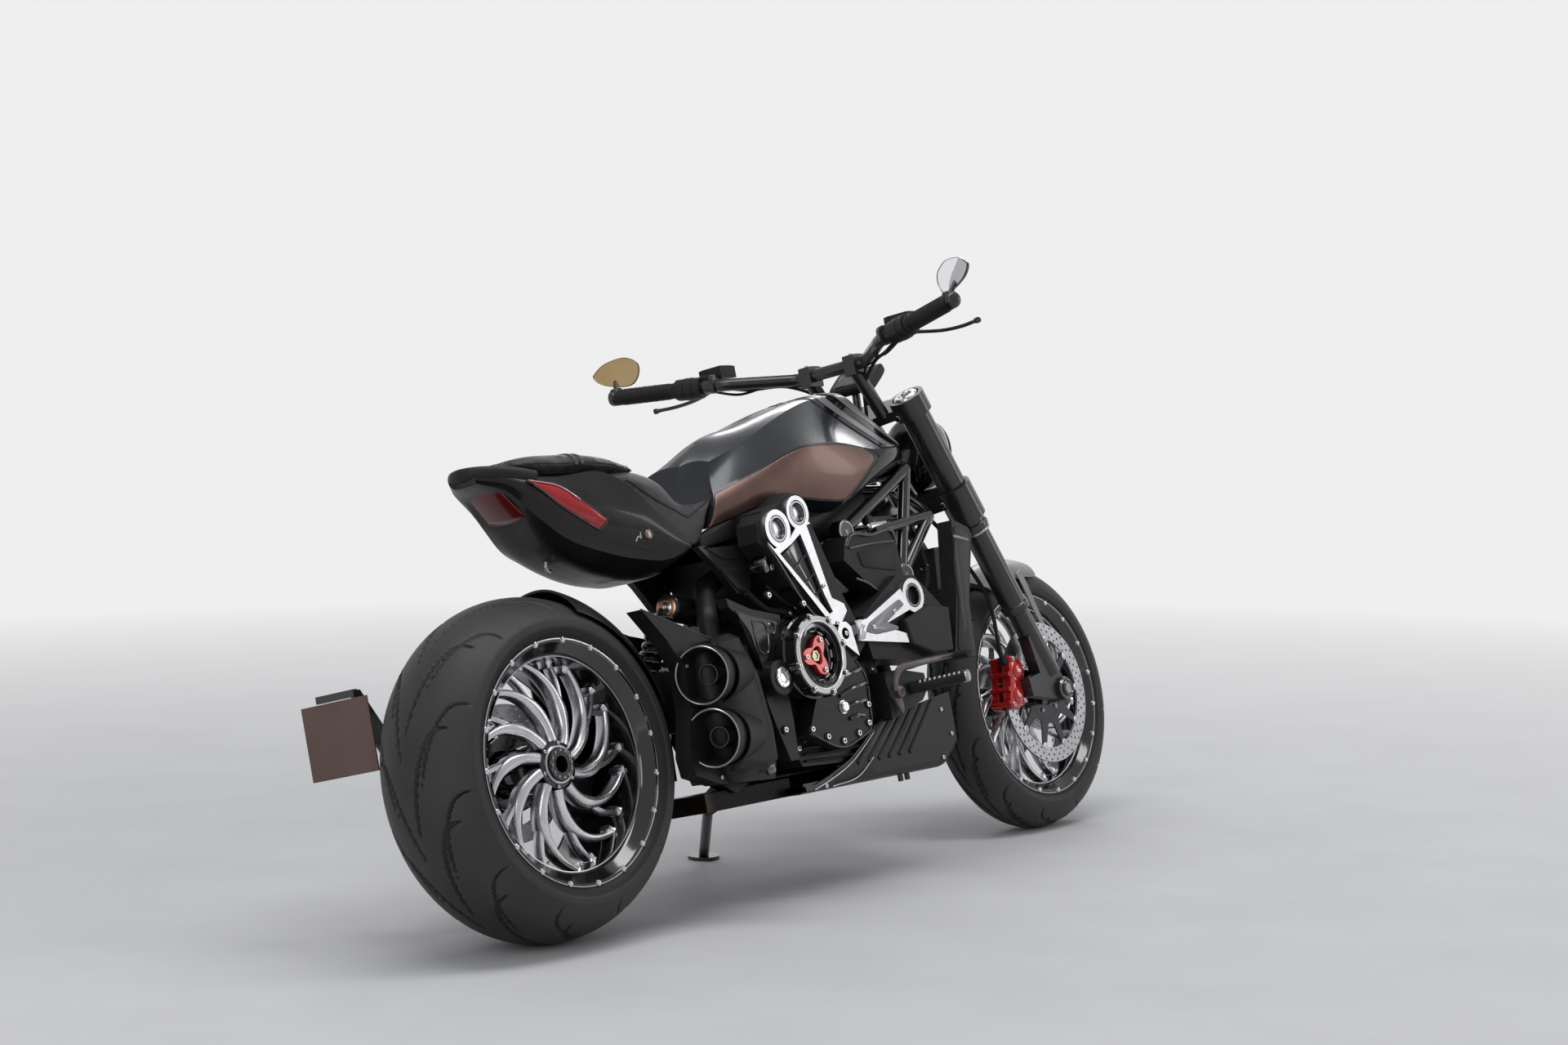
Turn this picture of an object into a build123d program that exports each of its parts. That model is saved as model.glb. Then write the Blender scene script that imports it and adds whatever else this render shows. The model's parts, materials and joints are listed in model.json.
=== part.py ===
from build123d import *
from math import cos, sin, tan, radians
import os

# Power cruiser motorcycle, leaning on its side stand.
# Every piece is laid out on the upright machine, in millimetres: X runs forward from the rear
# axle, Y to the rider's left and Z up from the ground. The last lines lean all of it over.

# Stance
lean_angle = 13.2
wheelbase = 1615
rake_angle = 28.6
trail = 130
seat_gap = 0.3
joint_gap = 0.3

# Tyres and rims
rear_tyre_radius = 324
rear_tyre_half_width = 120
rear_crown_radius = 152
rear_bead_radius = 216
rear_flange_radius = 231
rear_rim_half_width = 110
rear_barrel_radius = 200
rear_blade_count = 10
blade_swirl = 50
front_tyre_radius = 300
front_tyre_half_width = 60
front_crown_radius = 64
front_bead_radius = 216
front_flange_radius = 229
front_rim_half_width = 55
front_barrel_radius = 202
front_blade_count = 10
hub_radius = 46
flange_width = 8
tread_depth = 13

# Front end
fork_spread = 112
fork_cap_height = 985
outer_tube_end = 500
collar_height = 690
outer_tube_radius = 32
lower_sleeve_radius = 29
clamp_sleeve_radius = 41
stanchion_radius = 25
stem_radius = 15
head_tube_radius = 32
head_tube_low = 775
head_tube_high = 940
front_axle_radius = 12
front_disc_radius = 160
front_disc_y = 72
disc_thickness = 5
bar_radius = 14
grip_radius = 18
bar_half_width = 461

# Rear end
rear_axle_radius = 25
rear_hub_face = 71
rear_disc_radius = 132
rear_disc_y = 52
pulley_radius = 105
pulley_y = 198
pulley_width = 26
output_x = 618
output_z = 404
output_radius = 40
belt_thickness = 5
pivot_x = 533
pivot_z = 420
pivot_plate_y = 150
swingarm_inner = 130
swingarm_outer = 176

# Engine
crank_x = 785
crank_z = 432
rear_cylinder_angle = 114
front_cylinder_angle = 22
crankcase_half_width = 150
head_half_width = 100
clutch_x = 636
clutch_z = 452
clutch_radius = 80
belt_cover_y = 184
belt_cover_thickness = 14

# Exhaust
outlet_x = 336
outlet_y = 195
outlet_upper_z = 445
outlet_lower_z = 324
outlet_radius = 56
outlet_wall = 3
outlet_length = 92
outlet_splay = 14

# Side stand
stand_pivot_x = 702
stand_pivot_y = 190
stand_pivot_z = 196
stand_foot_x = 835
stand_foot_y = 345
stand_leg_radius = 11
stand_foot_radius = 34
stand_foot_thickness = 8

lean_slope = tan(radians(lean_angle))
rear_axle_z = rear_tyre_radius - rear_crown_radius + rear_crown_radius / cos(radians(lean_angle))
front_axle_z = front_tyre_radius - front_crown_radius + front_crown_radius / cos(radians(lean_angle))
rake_slope = tan(radians(rake_angle))
base = (Align.CENTER, Align.CENTER, Align.MIN)
middle = (Align.CENTER, Align.CENTER, Align.CENTER)


# X of the steering axis and of the fork legs at a height.
def axis_x(height):
    return wheelbase + trail - height * rake_slope


def leg_x(height):
    return wheelbase - (height - front_axle_z) * rake_slope


# A round bar between two points.
def rod(start, end, radius, mode=Mode.ADD):
    run = Vector(*end) - Vector(*start)
    with Locations(Plane(start, z_dir=run)):
        Cylinder(radius, run.length, align=base, mode=mode)


# A disc or drum across the machine: centre in X and Z, from one Y to a lower one.
def drum(x, z, y_left, y_right, radius, mode=Mode.ADD):
    with Locations(Plane((x, y_left, z), z_dir=(0, -1, 0))):
        Cylinder(radius, y_left - y_right, align=base, mode=mode)


# A flat piece seen from the side: its outline in X and Z, from one Y to a lower one.
def side_plate(outline, y_left, y_right, mode=Mode.ADD):
    with BuildSketch(Plane.XZ.offset(-y_left)) as face:
        Polygon(*outline, align=None)
    extrude(face.sketch, amount=y_left - y_right, mode=mode)


# A round tube along straight runs joined by bends.
def tube(points, radius, bend):
    with BuildLine() as run:
        FilletPolyline(*points, radius=bend)
    with BuildSketch(Plane(run.line @ 0, z_dir=run.line % 0)) as section:
        Circle(radius)
    sweep(section.sketch, path=run.line)


# The same point on the other side of the machine.
def left(point):
    return (point[0], -point[1], point[2])


rear_axle_line = Axis((0, 0, rear_axle_z), (0, 1, 0))
front_axle_line = Axis((wheelbase, 0, front_axle_z), (0, 1, 0))


# Half of a tyre's section, from its crown to its bead, mirrored about the wheel's middle plane.
def tyre_section(radius, half_width, crown, bead, flange, rim_half, axle_x, axle_z):
    def crown_at(y, depth):
        return radius - crown + (crown**2 - y**2) ** 0.5 - depth

    shoulder = crown_at(half_width, 0)
    mid_y = half_width * 0.55
    foot_y = rim_half - flange_width - 0.3
    inner_y = foot_y - 13
    with BuildSketch(Plane((axle_x, 0, axle_z), x_dir=(0, 1, 0), z_dir=(1, 0, 0))) as section:
        with BuildLine():
            ThreePointArc((0, radius), (mid_y, crown_at(mid_y, 0)), (half_width, shoulder))
            ThreePointArc(
                (half_width, shoulder),
                ((half_width + rim_half) / 2 + 4, (shoulder + flange) / 2),
                (rim_half - 1, flange + 0.5),
            )
            Polyline(
                (rim_half - 1, flange + 0.5),
                (foot_y, flange + 0.5),
                (foot_y, bead),
                (inner_y, bead),
                (inner_y, flange),
            )
            ThreePointArc(
                (inner_y, flange),
                (half_width * 0.84, shoulder - 4),
                (mid_y, crown_at(mid_y, tread_depth)),
            )
            ThreePointArc(
                (mid_y, crown_at(mid_y, tread_depth)),
                (mid_y / 2, crown_at(mid_y / 2, tread_depth)),
                (0, radius - tread_depth),
            )
            Line((0, radius - tread_depth), (0, radius))
        make_face()
        mirror(about=Plane.YZ)
    return section.sketch


with BuildPart() as rear_tyre:
    rear_section = tyre_section(
        rear_tyre_radius,
        rear_tyre_half_width,
        rear_crown_radius,
        rear_bead_radius,
        rear_flange_radius,
        rear_rim_half_width,
        0,
        rear_axle_z,
    )
    revolve(rear_section, axis=rear_axle_line)
rear_tyre.part.label = "rear_tyre"

with BuildPart() as front_tyre:
    front_section = tyre_section(
        front_tyre_radius,
        front_tyre_half_width,
        front_crown_radius,
        front_bead_radius,
        front_flange_radius,
        front_rim_half_width,
        wheelbase,
        front_axle_z,
    )
    revolve(front_section, axis=front_axle_line)
front_tyre.part.label = "front_tyre"


# A rim's barrel with its two flanges, in the plane of the axle.
def rim_section(bead, flange, barrel, half_width, axle_x, axle_z):
    points = [
        (-half_width, barrel + 4),
        (-half_width, flange),
        (-half_width + flange_width, flange),
        (-half_width + flange_width, bead - 0.3),
        (half_width - flange_width, bead - 0.3),
        (half_width - flange_width, flange),
        (half_width, flange),
        (half_width, barrel + 4),
        (half_width - 14, barrel),
        (-half_width + 14, barrel),
    ]
    with BuildSketch(Plane((axle_x, 0, axle_z), x_dir=(0, 1, 0), z_dir=(1, 0, 0))) as section:
        Polygon(*points, align=None)
    return section.sketch


# One curved blade seen from the right, from the hub out to the barrel, swirling forward.
def blade_outline(axle_x, axle_z, inner, outer, start, swirl, root, tip):
    def at(radius, angle):
        return (axle_x + radius * cos(radians(angle)), axle_z + radius * sin(radians(angle)))

    middle_radius = (inner + outer) / 2
    with BuildSketch(Plane.XZ) as face:
        with BuildLine():
            rising = ThreePointArc(
                at(inner, start - root),
                at(middle_radius, start + swirl * 0.30 - root * 0.35),
                at(outer, start + swirl - tip),
            )
            Line(rising @ 1, at(outer, start + swirl + tip))
            falling = ThreePointArc(
                at(outer, start + swirl + tip),
                at(middle_radius, start + swirl * 0.30 + root * 0.35),
                at(inner, start + root),
            )
            Line(falling @ 1, rising @ 0)
        make_face()
    return face.sketch


# A dished wheel face: what lies between two cones, from the hub out into the barrel.
def dish_section(axle_x, axle_z, inner, outer, hub_y, hub_depth, barrel_y, barrel_depth):
    points = [
        (hub_y, inner),
        (hub_y + hub_depth, inner),
        (barrel_y + barrel_depth, outer),
        (barrel_y, outer),
    ]
    with BuildSketch(Plane((axle_x, 0, axle_z), x_dir=(0, 1, 0), z_dir=(1, 0, 0))) as section:
        Polygon(*points, align=None)
    return section.sketch


# Fork of a blade: a thinner prong that leaves it halfway out and meets the barrel further back.
fork_radius = 112
fork_start = 15
fork_swirl = 12

with BuildPart() as rear_blades:
    for turn in range(rear_blade_count):
        angle = 85 - turn * 360 / rear_blade_count
        outer = rear_barrel_radius + 2
        blade = blade_outline(0, rear_axle_z, hub_radius - 6, outer, angle, blade_swirl, 13, 3)
        prong = blade_outline(0, rear_axle_z, fork_radius, outer, angle + fork_start, fork_swirl, 3, 2)
        for outline in (blade, prong):
            extrude(outline, amount=80)
            extrude(outline, amount=-30)
    dish = dish_section(0, rear_axle_z, hub_radius - 8, rear_barrel_radius + 4, -66, 34, -34, 30)
    revolve(dish, axis=rear_axle_line, mode=Mode.INTERSECT)

with BuildPart() as rear_rim:
    barrel = rim_section(
        rear_bead_radius,
        rear_flange_radius,
        rear_barrel_radius,
        rear_rim_half_width,
        0,
        rear_axle_z,
    )
    revolve(barrel, axis=rear_axle_line)
    add(rear_blades.part)
    drum(0, rear_axle_z, 40, -rear_hub_face + 2, hub_radius)
    drum(0, rear_axle_z, 41, -rear_hub_face, rear_axle_radius, mode=Mode.SUBTRACT)
rear_rim.part.label = "rear_rim"

with BuildPart() as front_blades:
    for turn in range(front_blade_count):
        angle = 85 - turn * 360 / front_blade_count
        outer = front_barrel_radius + 2
        blade = blade_outline(wheelbase, front_axle_z, 26, outer, angle, blade_swirl, 16, 3)
        prong = blade_outline(
            wheelbase,
            front_axle_z,
            fork_radius,
            outer,
            angle + fork_start,
            fork_swirl,
            3,
            2,
        )
        for outline in (blade, prong):
            extrude(outline, amount=30)
            extrude(outline, amount=-30)
    dish = dish_section(wheelbase, front_axle_z, 24, front_barrel_radius + 4, -26, 52, -14, 28)
    revolve(dish, axis=front_axle_line, mode=Mode.INTERSECT)

with BuildPart() as front_rim:
    barrel = rim_section(
        front_bead_radius,
        front_flange_radius,
        front_barrel_radius,
        front_rim_half_width,
        wheelbase,
        front_axle_z,
    )
    revolve(barrel, axis=front_axle_line)
    add(front_blades.part)
    drum(wheelbase, front_axle_z, front_disc_y, -front_disc_y, 32)
    drum(wheelbase, front_axle_z, 80, -80, front_axle_radius + joint_gap, mode=Mode.SUBTRACT)
front_rim.part.label = "front_rim"

# A brake disc: friction ring, carrier ring and the arms between them.
disc_ring_inner = 126
carrier_radius = 62
carrier_arms = 10


def brake_disc(x, z, y_left, outer, ring_inner, bore, arms):
    y_right = y_left - disc_thickness
    drum(x, z, y_left, y_right, outer)
    drum(x, z, y_left, y_right, ring_inner, mode=Mode.SUBTRACT)
    drum(x, z, y_left, y_right, carrier_radius)
    with Locations(Plane((x, y_left, z), z_dir=(0, -1, 0))):
        with PolarLocations(0, arms):
            with Locations((carrier_radius - 4, 0)):
                Box(
                    ring_inner - carrier_radius + 8,
                    11,
                    disc_thickness,
                    align=(Align.MIN, Align.CENTER, Align.MIN),
                )
    drum(x, z, y_left, y_right, bore, mode=Mode.SUBTRACT)


with BuildPart() as front_discs:
    for side_y in (front_disc_y + disc_thickness, -front_disc_y):
        brake_disc(
            wheelbase,
            front_axle_z,
            side_y,
            front_disc_radius,
            disc_ring_inner,
            front_axle_radius + 3,
            carrier_arms,
        )
front_discs.part.label = "front_discs"

with BuildPart() as rear_disc:
    brake_disc(
        0,
        rear_axle_z,
        rear_disc_y + disc_thickness,
        rear_disc_radius,
        rear_disc_radius - 34,
        rear_axle_radius,
        8,
    )
rear_disc.part.label = "rear_disc"

with BuildPart() as rear_pulley:
    drum(0, rear_axle_z, pulley_y + pulley_width, pulley_y, pulley_radius)
    drum(0, rear_axle_z, pulley_y + pulley_width, pulley_y, rear_axle_radius, mode=Mode.SUBTRACT)
    with Locations(Plane((0, pulley_y + pulley_width, rear_axle_z), z_dir=(0, -1, 0))):
        with PolarLocations(66, 5):
            Cylinder(24, pulley_width, align=base, mode=Mode.SUBTRACT)
rear_pulley.part.label = "rear_pulley"

with BuildPart() as rear_axle:
    drum(0, rear_axle_z, pulley_y + pulley_width + 8, -rear_hub_face, rear_axle_radius)
    drum(0, rear_axle_z, rear_disc_y, 40, 40)
    drum(0, rear_axle_z, pulley_y + pulley_width + 12, pulley_y + pulley_width, 34)
    drum(0, rear_axle_z, -rear_hub_face, -rear_hub_face - 9, 31)
    drum(0, rear_axle_z, 300, -rear_hub_face - 10, 16, mode=Mode.SUBTRACT)
rear_axle.part.label = "rear_axle"

# Single-sided arm: cross tube, left beam and the hub that carries the rear axle.
with BuildPart() as swingarm:
    drum(pivot_x, pivot_z, pivot_plate_y - seat_gap, -pivot_plate_y + seat_gap, 27)
    side_plate(
        [(pivot_x + 20, 455), (pivot_x + 20, 385), (420, 350), (355, 350), (355, 470), (430, 480)],
        pivot_plate_y - seat_gap,
        -90,
    )
    side_plate(
        [
            (420, 350),
            (250, 300),
            (70, 262),
            (0, 250),
            (-60, 290),
            (-66, 360),
            (0, 402),
            (120, 400),
            (430, 480),
        ],
        swingarm_outer,
        swingarm_inner,
    )
    drum(0, rear_axle_z, swingarm_outer, rear_disc_y + disc_thickness + 8, 62)
    drum(0, rear_axle_z, 300, 0, rear_axle_radius + joint_gap, mode=Mode.SUBTRACT)
    drum(pivot_x, pivot_z, 400, -400, 12, mode=Mode.SUBTRACT)
swingarm.part.label = "swingarm"

with BuildPart() as rear_caliper:
    with Locations(Plane((144, rear_disc_y, rear_axle_z - 50), x_dir=(0.95, 0, -0.3), z_dir=(0, -1, 0))):
        Box(62, 92, 70, align=middle)
    drum(
        0,
        rear_axle_z,
        rear_disc_y + disc_thickness + 5,
        rear_disc_y - 5,
        rear_disc_radius + 5,
        mode=Mode.SUBTRACT,
    )
    side_plate(
        [(40, 300), (40, 266), (120, 240), (150, 270), (120, 310)],
        rear_disc_y + disc_thickness + 22,
        rear_disc_y + disc_thickness + 8,
    )
    drum(0, rear_axle_z, 300, 0, 62, mode=Mode.SUBTRACT)
rear_caliper.part.label = "rear_caliper"


# The side stand turns about an axis square to its leg, both when it is down and when it is up.
floor_normal = (0, -sin(radians(lean_angle)), cos(radians(lean_angle)))
stand_pivot = Vector(stand_pivot_x, stand_pivot_y, stand_pivot_z)
stand_foot = Vector(stand_foot_x, stand_foot_y, stand_foot_y * lean_slope)
stand_stowed = Vector(-1, 0.12, 0.05)
stand_axis = (stand_foot - stand_pivot).cross(stand_stowed).normalized()
stand_inward = (Vector(0, -1, 0) + stand_axis * stand_axis.Y).normalized()
stand_plane = Plane(stand_pivot, x_dir=stand_inward, z_dir=stand_axis)


# The crankcase and both cylinders as one heavy block.
def cylinder_outline(angle, start, end, half):
    along = (cos(radians(angle)), sin(radians(angle)))
    across = (-along[1], along[0])
    corners = ((start, -half), (end, -half), (end, half), (start, half))
    return [
        (crank_x + a * along[0] + b * across[0], crank_z + a * along[1] + b * across[1])
        for a, b in corners
    ]


with BuildPart() as engine_block:
    side_plate(
        [(575, 330), (615, 240), (860, 228), (915, 290), (915, 470), (850, 560), (700, 590), (590, 500)],
        crankcase_half_width,
        -crankcase_half_width + 4,
    )
    for angle in (rear_cylinder_angle, front_cylinder_angle):
        side_plate(cylinder_outline(angle, 60, 190, 66), 78, -78)
        side_plate(cylinder_outline(angle, 180, 312, 86), head_half_width, -head_half_width)
    drum(output_x, output_z, pulley_y + pulley_width, crankcase_half_width, output_radius)
    side_plate([(672, 262), (735, 262), (735, 198), (672, 198)], 152, 126)
    for level in (8.3, -16.3):
        with Locations(stand_plane.offset(level)):
            Cylinder(18, 8, align=base)
            Box(60, 30, 8, align=(Align.MIN, Align.CENTER, Align.MIN))
engine_block.part.label = "engine_block"

# Black right-hand cover with the open clutch in it.
with BuildPart() as clutch_cover:
    drum(clutch_x, clutch_z, -crankcase_half_width + 4, -225, clutch_radius)
    drum(clutch_x, clutch_z, -176, -226, clutch_radius - 14, mode=Mode.SUBTRACT)
    drum(clutch_x, clutch_z, -176, -204, clutch_radius - 26)
    side_plate(
        [(600, 300), (700, 262), (800, 290), (812, 400), (760, 470), (700, 400), (640, 365)],
        -crankcase_half_width + 4,
        -190,
    )
    drum(clutch_x, clutch_z, -191, -226, clutch_radius - 14, mode=Mode.SUBTRACT)
    drum(clutch_x, clutch_z, -185, -204, clutch_radius - 26)
clutch_cover.part.label = "clutch_cover"

with BuildPart() as clutch_plate:
    drum(clutch_x, clutch_z, -204, -214, 34)
    with Locations(Plane((clutch_x, -204, clutch_z), z_dir=(0, -1, 0))):
        with PolarLocations(42, 3, start_angle=60):
            Cylinder(13, 12, align=base)
clutch_plate.part.label = "clutch_plate"


# Bright belt covers. Rings: X, Z, outer and inner radius.
rear_rings = (
    (608, 714, 39, 28),
    (680, 743, 35, 26),
)
front_ring = (1017, 549, 36, 26)
hub_x = 764
hub_z = 489
hub_ring = 24
hub_bore = 12
belt_face = -belt_cover_y - belt_cover_thickness

with BuildPart() as belt_covers:
    side_plate(
        [
            (566, 690),
            (586, 674),
            (640, 692),
            (664, 712),
            (712, 722),
            (782, 534),
            (752, 506),
            (724, 512),
        ],
        -belt_cover_y,
        belt_face,
    )
    for x, z, outer, inner in rear_rings:
        drum(x, z, -belt_cover_y, belt_face, outer)
    side_plate(
        [(600, 664), (640, 680), (676, 700), (718, 574), (736, 536), (724, 532)],
        -belt_cover_y,
        belt_face,
        mode=Mode.SUBTRACT,
    )
    side_plate(
        [(701, 716), (740, 564), (800, 540), (760, 730)],
        -belt_cover_y,
        belt_face,
        mode=Mode.SUBTRACT,
    )
    for x, z, outer, inner in rear_rings:
        drum(x, z, -belt_cover_y, belt_face, inner, mode=Mode.SUBTRACT)
    drum(hub_x, hub_z, -belt_cover_y, belt_face, hub_ring)
    side_plate([(742, 478), (786, 500), (797, 440)], -belt_cover_y, belt_face)
    drum(hub_x, hub_z, -belt_cover_y, belt_face, hub_bore, mode=Mode.SUBTRACT)
    x, z, outer, inner = front_ring
    side_plate(
        [
            (801, 509),
            (843, 513),
            (975, 566),
            (1004, 522),
            (892, 494),
            (976, 470),
            (974, 452),
            (808, 470),
        ],
        -belt_cover_y,
        belt_face,
    )
    drum(x, z, -belt_cover_y, belt_face, outer)
    drum(x, z, -belt_cover_y, belt_face, inner, mode=Mode.SUBTRACT)
    side_plate([(786, 500), (802, 504), (806, 484), (786, 482)], -belt_cover_y, belt_face + 6)
    add(clutch_cover.part, mode=Mode.SUBTRACT)
belt_covers.part.label = "belt_covers"

with BuildPart() as alternator_cover:
    drum(crank_x, crank_z, 200, crankcase_half_width, 92)
    fillet(alternator_cover.faces().sort_by(Axis.Y)[-1].edges(), 16)
    side_plate([(690, 490), (668, 380), (680, 300), (760, 300), (730, 490)], 185, crankcase_half_width)
alternator_cover.part.label = "alternator_cover"

neck_setback = 38.7

with BuildPart() as trellis_frame:
    corners = {
        "rear": (900, -130, 701),
        "top": (1177, -120, 827),
        "front": (1204, -140, 719),
        "low": (1054, -150, 596),
        "neck_high": (axis_x(915) - neck_setback, -14, 915),
        "neck_low": (axis_x(800) - neck_setback, -14, 800),
        "under": (1000, -136, 696),
    }
    runs = (
        ("rear", "top"),
        ("top", "low"),
        ("low", "front"),
        ("under", "front"),
        ("top", "neck_high"),
        ("front", "neck_low"),
        ("top", "neck_low"),
    )
    for start, end in runs:
        rod(corners[start], corners[end], 13)
        rod(left(corners[start]), left(corners[end]), 13)
    rod(corners["top"], left(corners["top"]), 13)
    rod(corners["front"], left(corners["front"]), 13)
    for name in ("rear", "low"):
        x, y, z = corners[name]
        drum(x, z, y + 10, y - 14, 26)
        drum(x, z, -y + 14, -y - 10, 26)
    rod(
        (axis_x(head_tube_low), 0, head_tube_low),
        (axis_x(head_tube_high), 0, head_tube_high),
        head_tube_radius,
    )
    with Locations(Plane((axis_x(head_tube_low - 10), 0, head_tube_low - 10), z_dir=(-rake_slope, 0, 1))):
        Cylinder(stem_radius + joint_gap, 260, align=base, mode=Mode.SUBTRACT)
trellis_frame.part.label = "trellis_frame"

# Fuel tank: X, top height, ridge Y and Z, shoulder Y and Z, lower edge Y and Z, bottom Z.
tank_sections = (
    (577, 878, 60, 864, 106, 806, 100, 748, 738),
    (700, 944, 78, 924, 137, 862, 130, 778, 748),
    (850, 980, 84, 960, 161, 888, 146, 768, 752),
    (1000, 1008, 78, 988, 165, 866, 158, 822, 766),
    (1110, 1017, 66, 996, 157, 886, 142, 848, 830),
    (1215, 1003, 50, 975, 124, 894, 106, 856, 838),
)
tank_front_gap = 80
tunnel_top = 790
tunnel_half_width = 101

with BuildPart() as fuel_tank:
    for x, top, ridge_y, ridge_z, wide_y, wide_z, low_y, low_z, bottom in tank_sections:
        with BuildSketch(Plane.YZ.offset(x)):
            with BuildLine():
                ThreePointArc((-ridge_y, ridge_z), (0, top), (ridge_y, ridge_z))
                upper_y = (ridge_y + wide_y) / 2 + 9
                upper_z = (ridge_z + wide_z) / 2 + 9
                ThreePointArc((ridge_y, ridge_z), (upper_y, upper_z), (wide_y, wide_z))
                lower_z = (wide_z + low_z) / 2
                ThreePointArc((wide_y, wide_z), ((wide_y + low_y) / 2 + 5, lower_z), (low_y, low_z))
                Line((low_y, low_z), (low_y - 40, bottom))
                Line((low_y - 40, bottom), (40 - low_y, bottom))
                Line((40 - low_y, bottom), (-low_y, low_z))
                ThreePointArc((-low_y, low_z), (-(wide_y + low_y) / 2 - 5, lower_z), (-wide_y, wide_z))
                ThreePointArc((-wide_y, wide_z), (-upper_y, upper_z), (-ridge_y, ridge_z))
            make_face()
    loft()
    head_back = Plane(
        (axis_x(900) - tank_front_gap / cos(radians(rake_angle)), 0, 900),
        z_dir=(cos(radians(rake_angle)), 0, sin(radians(rake_angle))),
    )
    split(bisect_by=head_back, keep=Keep.BOTTOM)
    with Locations((920, 0, tunnel_top)):
        Box(
            700,
            2 * tunnel_half_width,
            200,
            align=(Align.CENTER, Align.CENTER, Align.MAX),
            mode=Mode.SUBTRACT,
        )
    add(trellis_frame.part, mode=Mode.SUBTRACT)
fuel_tank.part.label = "fuel_tank"

housing_face = -belt_cover_y + seat_gap
with BuildPart() as belt_housings:
    side_plate(
        [
            (579, 700),
            (582, 754),
            (640, 768),
            (668, 788),
            (716, 780),
            (730, 730),
            (800, 560),
            (850, 470),
            (790, 425),
            (736, 452),
        ],
        -head_half_width - seat_gap,
        housing_face,
    )
    side_plate([(556, 692), (560, 730), (590, 758), (690, 700), (740, 480), (712, 505)], -132, housing_face)
    side_plate(
        [
            (850, 470),
            (850, 520),
            (990, 596),
            (1050, 592),
            (1132, 520),
            (1120, 420),
            (1060, 410),
            (860, 430),
        ],
        -head_half_width - seat_gap,
        housing_face,
    )
    cover = [(966, 499), (1056, 526), (1128, 515), (1118, 424), (1050, 420), (978, 448)]
    side_plate(cover, housing_face, belt_face - 6)
    fillet(belt_housings.faces().sort_by(Axis.Y)[0].edges(), 5)
    add(engine_block.part, mode=Mode.SUBTRACT)
    add(clutch_cover.part, mode=Mode.SUBTRACT)
    add(trellis_frame.part, mode=Mode.SUBTRACT)
    add(fuel_tank.part, mode=Mode.SUBTRACT)
    add(belt_covers.part, mode=Mode.SUBTRACT)
belt_housings.part.label = "belt_housings"

# The line where tail cowl and rider seat meet, leaning back from the belly of the seat.
seat_break = Plane((289, 0, 843), z_dir=(129, 0, 143))

# Soft bodies made of rounded sections: X, half width, bottom, top and corner radius.
rider_seat_sections = (
    (262, 88, 780, 866, 16),
    (340, 102, 730, 860, 26),
    (410, 116, 704, 818, 30),
    (480, 122, 704, 784, 30),
    (545, 114, 710, 815, 34),
    (576.5, 106, 720, 880, 34),
)
with BuildPart() as rider_seat:
    for x, half, low, high, corner in rider_seat_sections:
        with BuildSketch(Plane.YZ.offset(x)):
            with Locations((0, (low + high) / 2)):
                RectangleRounded(2 * half, high - low, corner)
    loft()
    split(bisect_by=seat_break.offset(0.5), keep=Keep.TOP)
    with Locations((200, 0, 868)):
        Box(400, 400, 100, align=(Align.CENTER, Align.CENTER, Align.MIN), mode=Mode.SUBTRACT)
rider_seat.part.label = "rider_seat"

pillion_sections = (
    (22, 62, 878, 902, 10),
    (60, 80, 876, 914, 16),
    (200, 94, 868.3, 912, 18),
    (322, 88, 868.3, 900, 14),
    (380, 84, 868.3, 880, 5),
)
with BuildPart() as passenger_seat:
    for x, half, low, high, corner in pillion_sections:
        with BuildSketch(Plane.YZ.offset(x)):
            with Locations((0, (low + high) / 2)):
                RectangleRounded(2 * half, high - low, corner)
    loft()
passenger_seat.part.label = "passenger_seat"

# Tail wedge. Sections: X, then half width and height of deck edge, crease, lower edge and belly.
tail_sections = (
    (-56, 40, 884, 54, 880, 50, 870, 40, 866),
    (0, 62, 888, 80, 876, 70, 856, 46, 848),
    (105, 80, 880, 98, 864, 90, 762, 50, 740),
    (200, 88, 872, 110, 862, 106, 724, 50, 682),
    (300, 92, 868, 119, 842, 112, 704, 54, 656),
    (370, 96, 866, 123, 790, 115, 702, 60, 652),
    (436, 96, 830, 122, 760, 117, 712, 76, 696),
)
lamp_side = [(36, 862), (100, 850), (203, 773), (184, 754), (73, 822)]
lamp_depth = 22

with BuildPart() as tail_body:
    for x, deck_y, deck_z, crease_y, crease_z, low_y, low_z, belly_y, belly_z in tail_sections:
        right_half = [(deck_y, deck_z), (crease_y, crease_z), (low_y, low_z), (belly_y, belly_z)]
        with BuildSketch(Plane.YZ.offset(x)):
            Polygon(*right_half, *[(-y, z) for y, z in reversed(right_half)], align=None)
    loft(ruled=True)
    split(bisect_by=seat_break, keep=Keep.BOTTOM)
    add(passenger_seat.part, mode=Mode.SUBTRACT)

# Tail lamps lie flush in both flanks, joined by a lens across the blunt end.
with BuildPart() as tail_lamps:
    side_plate(lamp_side, 140, -140)
    side_plate([(-70, 858), (20, 856), (30, 826), (130, 744), (80, 730), (-70, 840)], 140, -140)
    add(tail_body.part, mode=Mode.INTERSECT)
    with BuildSketch(Plane.XY.offset(700)) as core:
        with BuildLine():
            Polyline((50, 44), (50, -44), (240, -108 + lamp_depth), (240, 108 - lamp_depth), close=True)
        make_face()
    extrude(core.sketch, amount=200, mode=Mode.SUBTRACT)
tail_lamps.part.label = "tail_lamps"

with BuildPart() as tail_cowl:
    add(tail_body.part)
    add(tail_lamps.part, mode=Mode.SUBTRACT)
tail_cowl.part.label = "tail_cowl"

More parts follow.
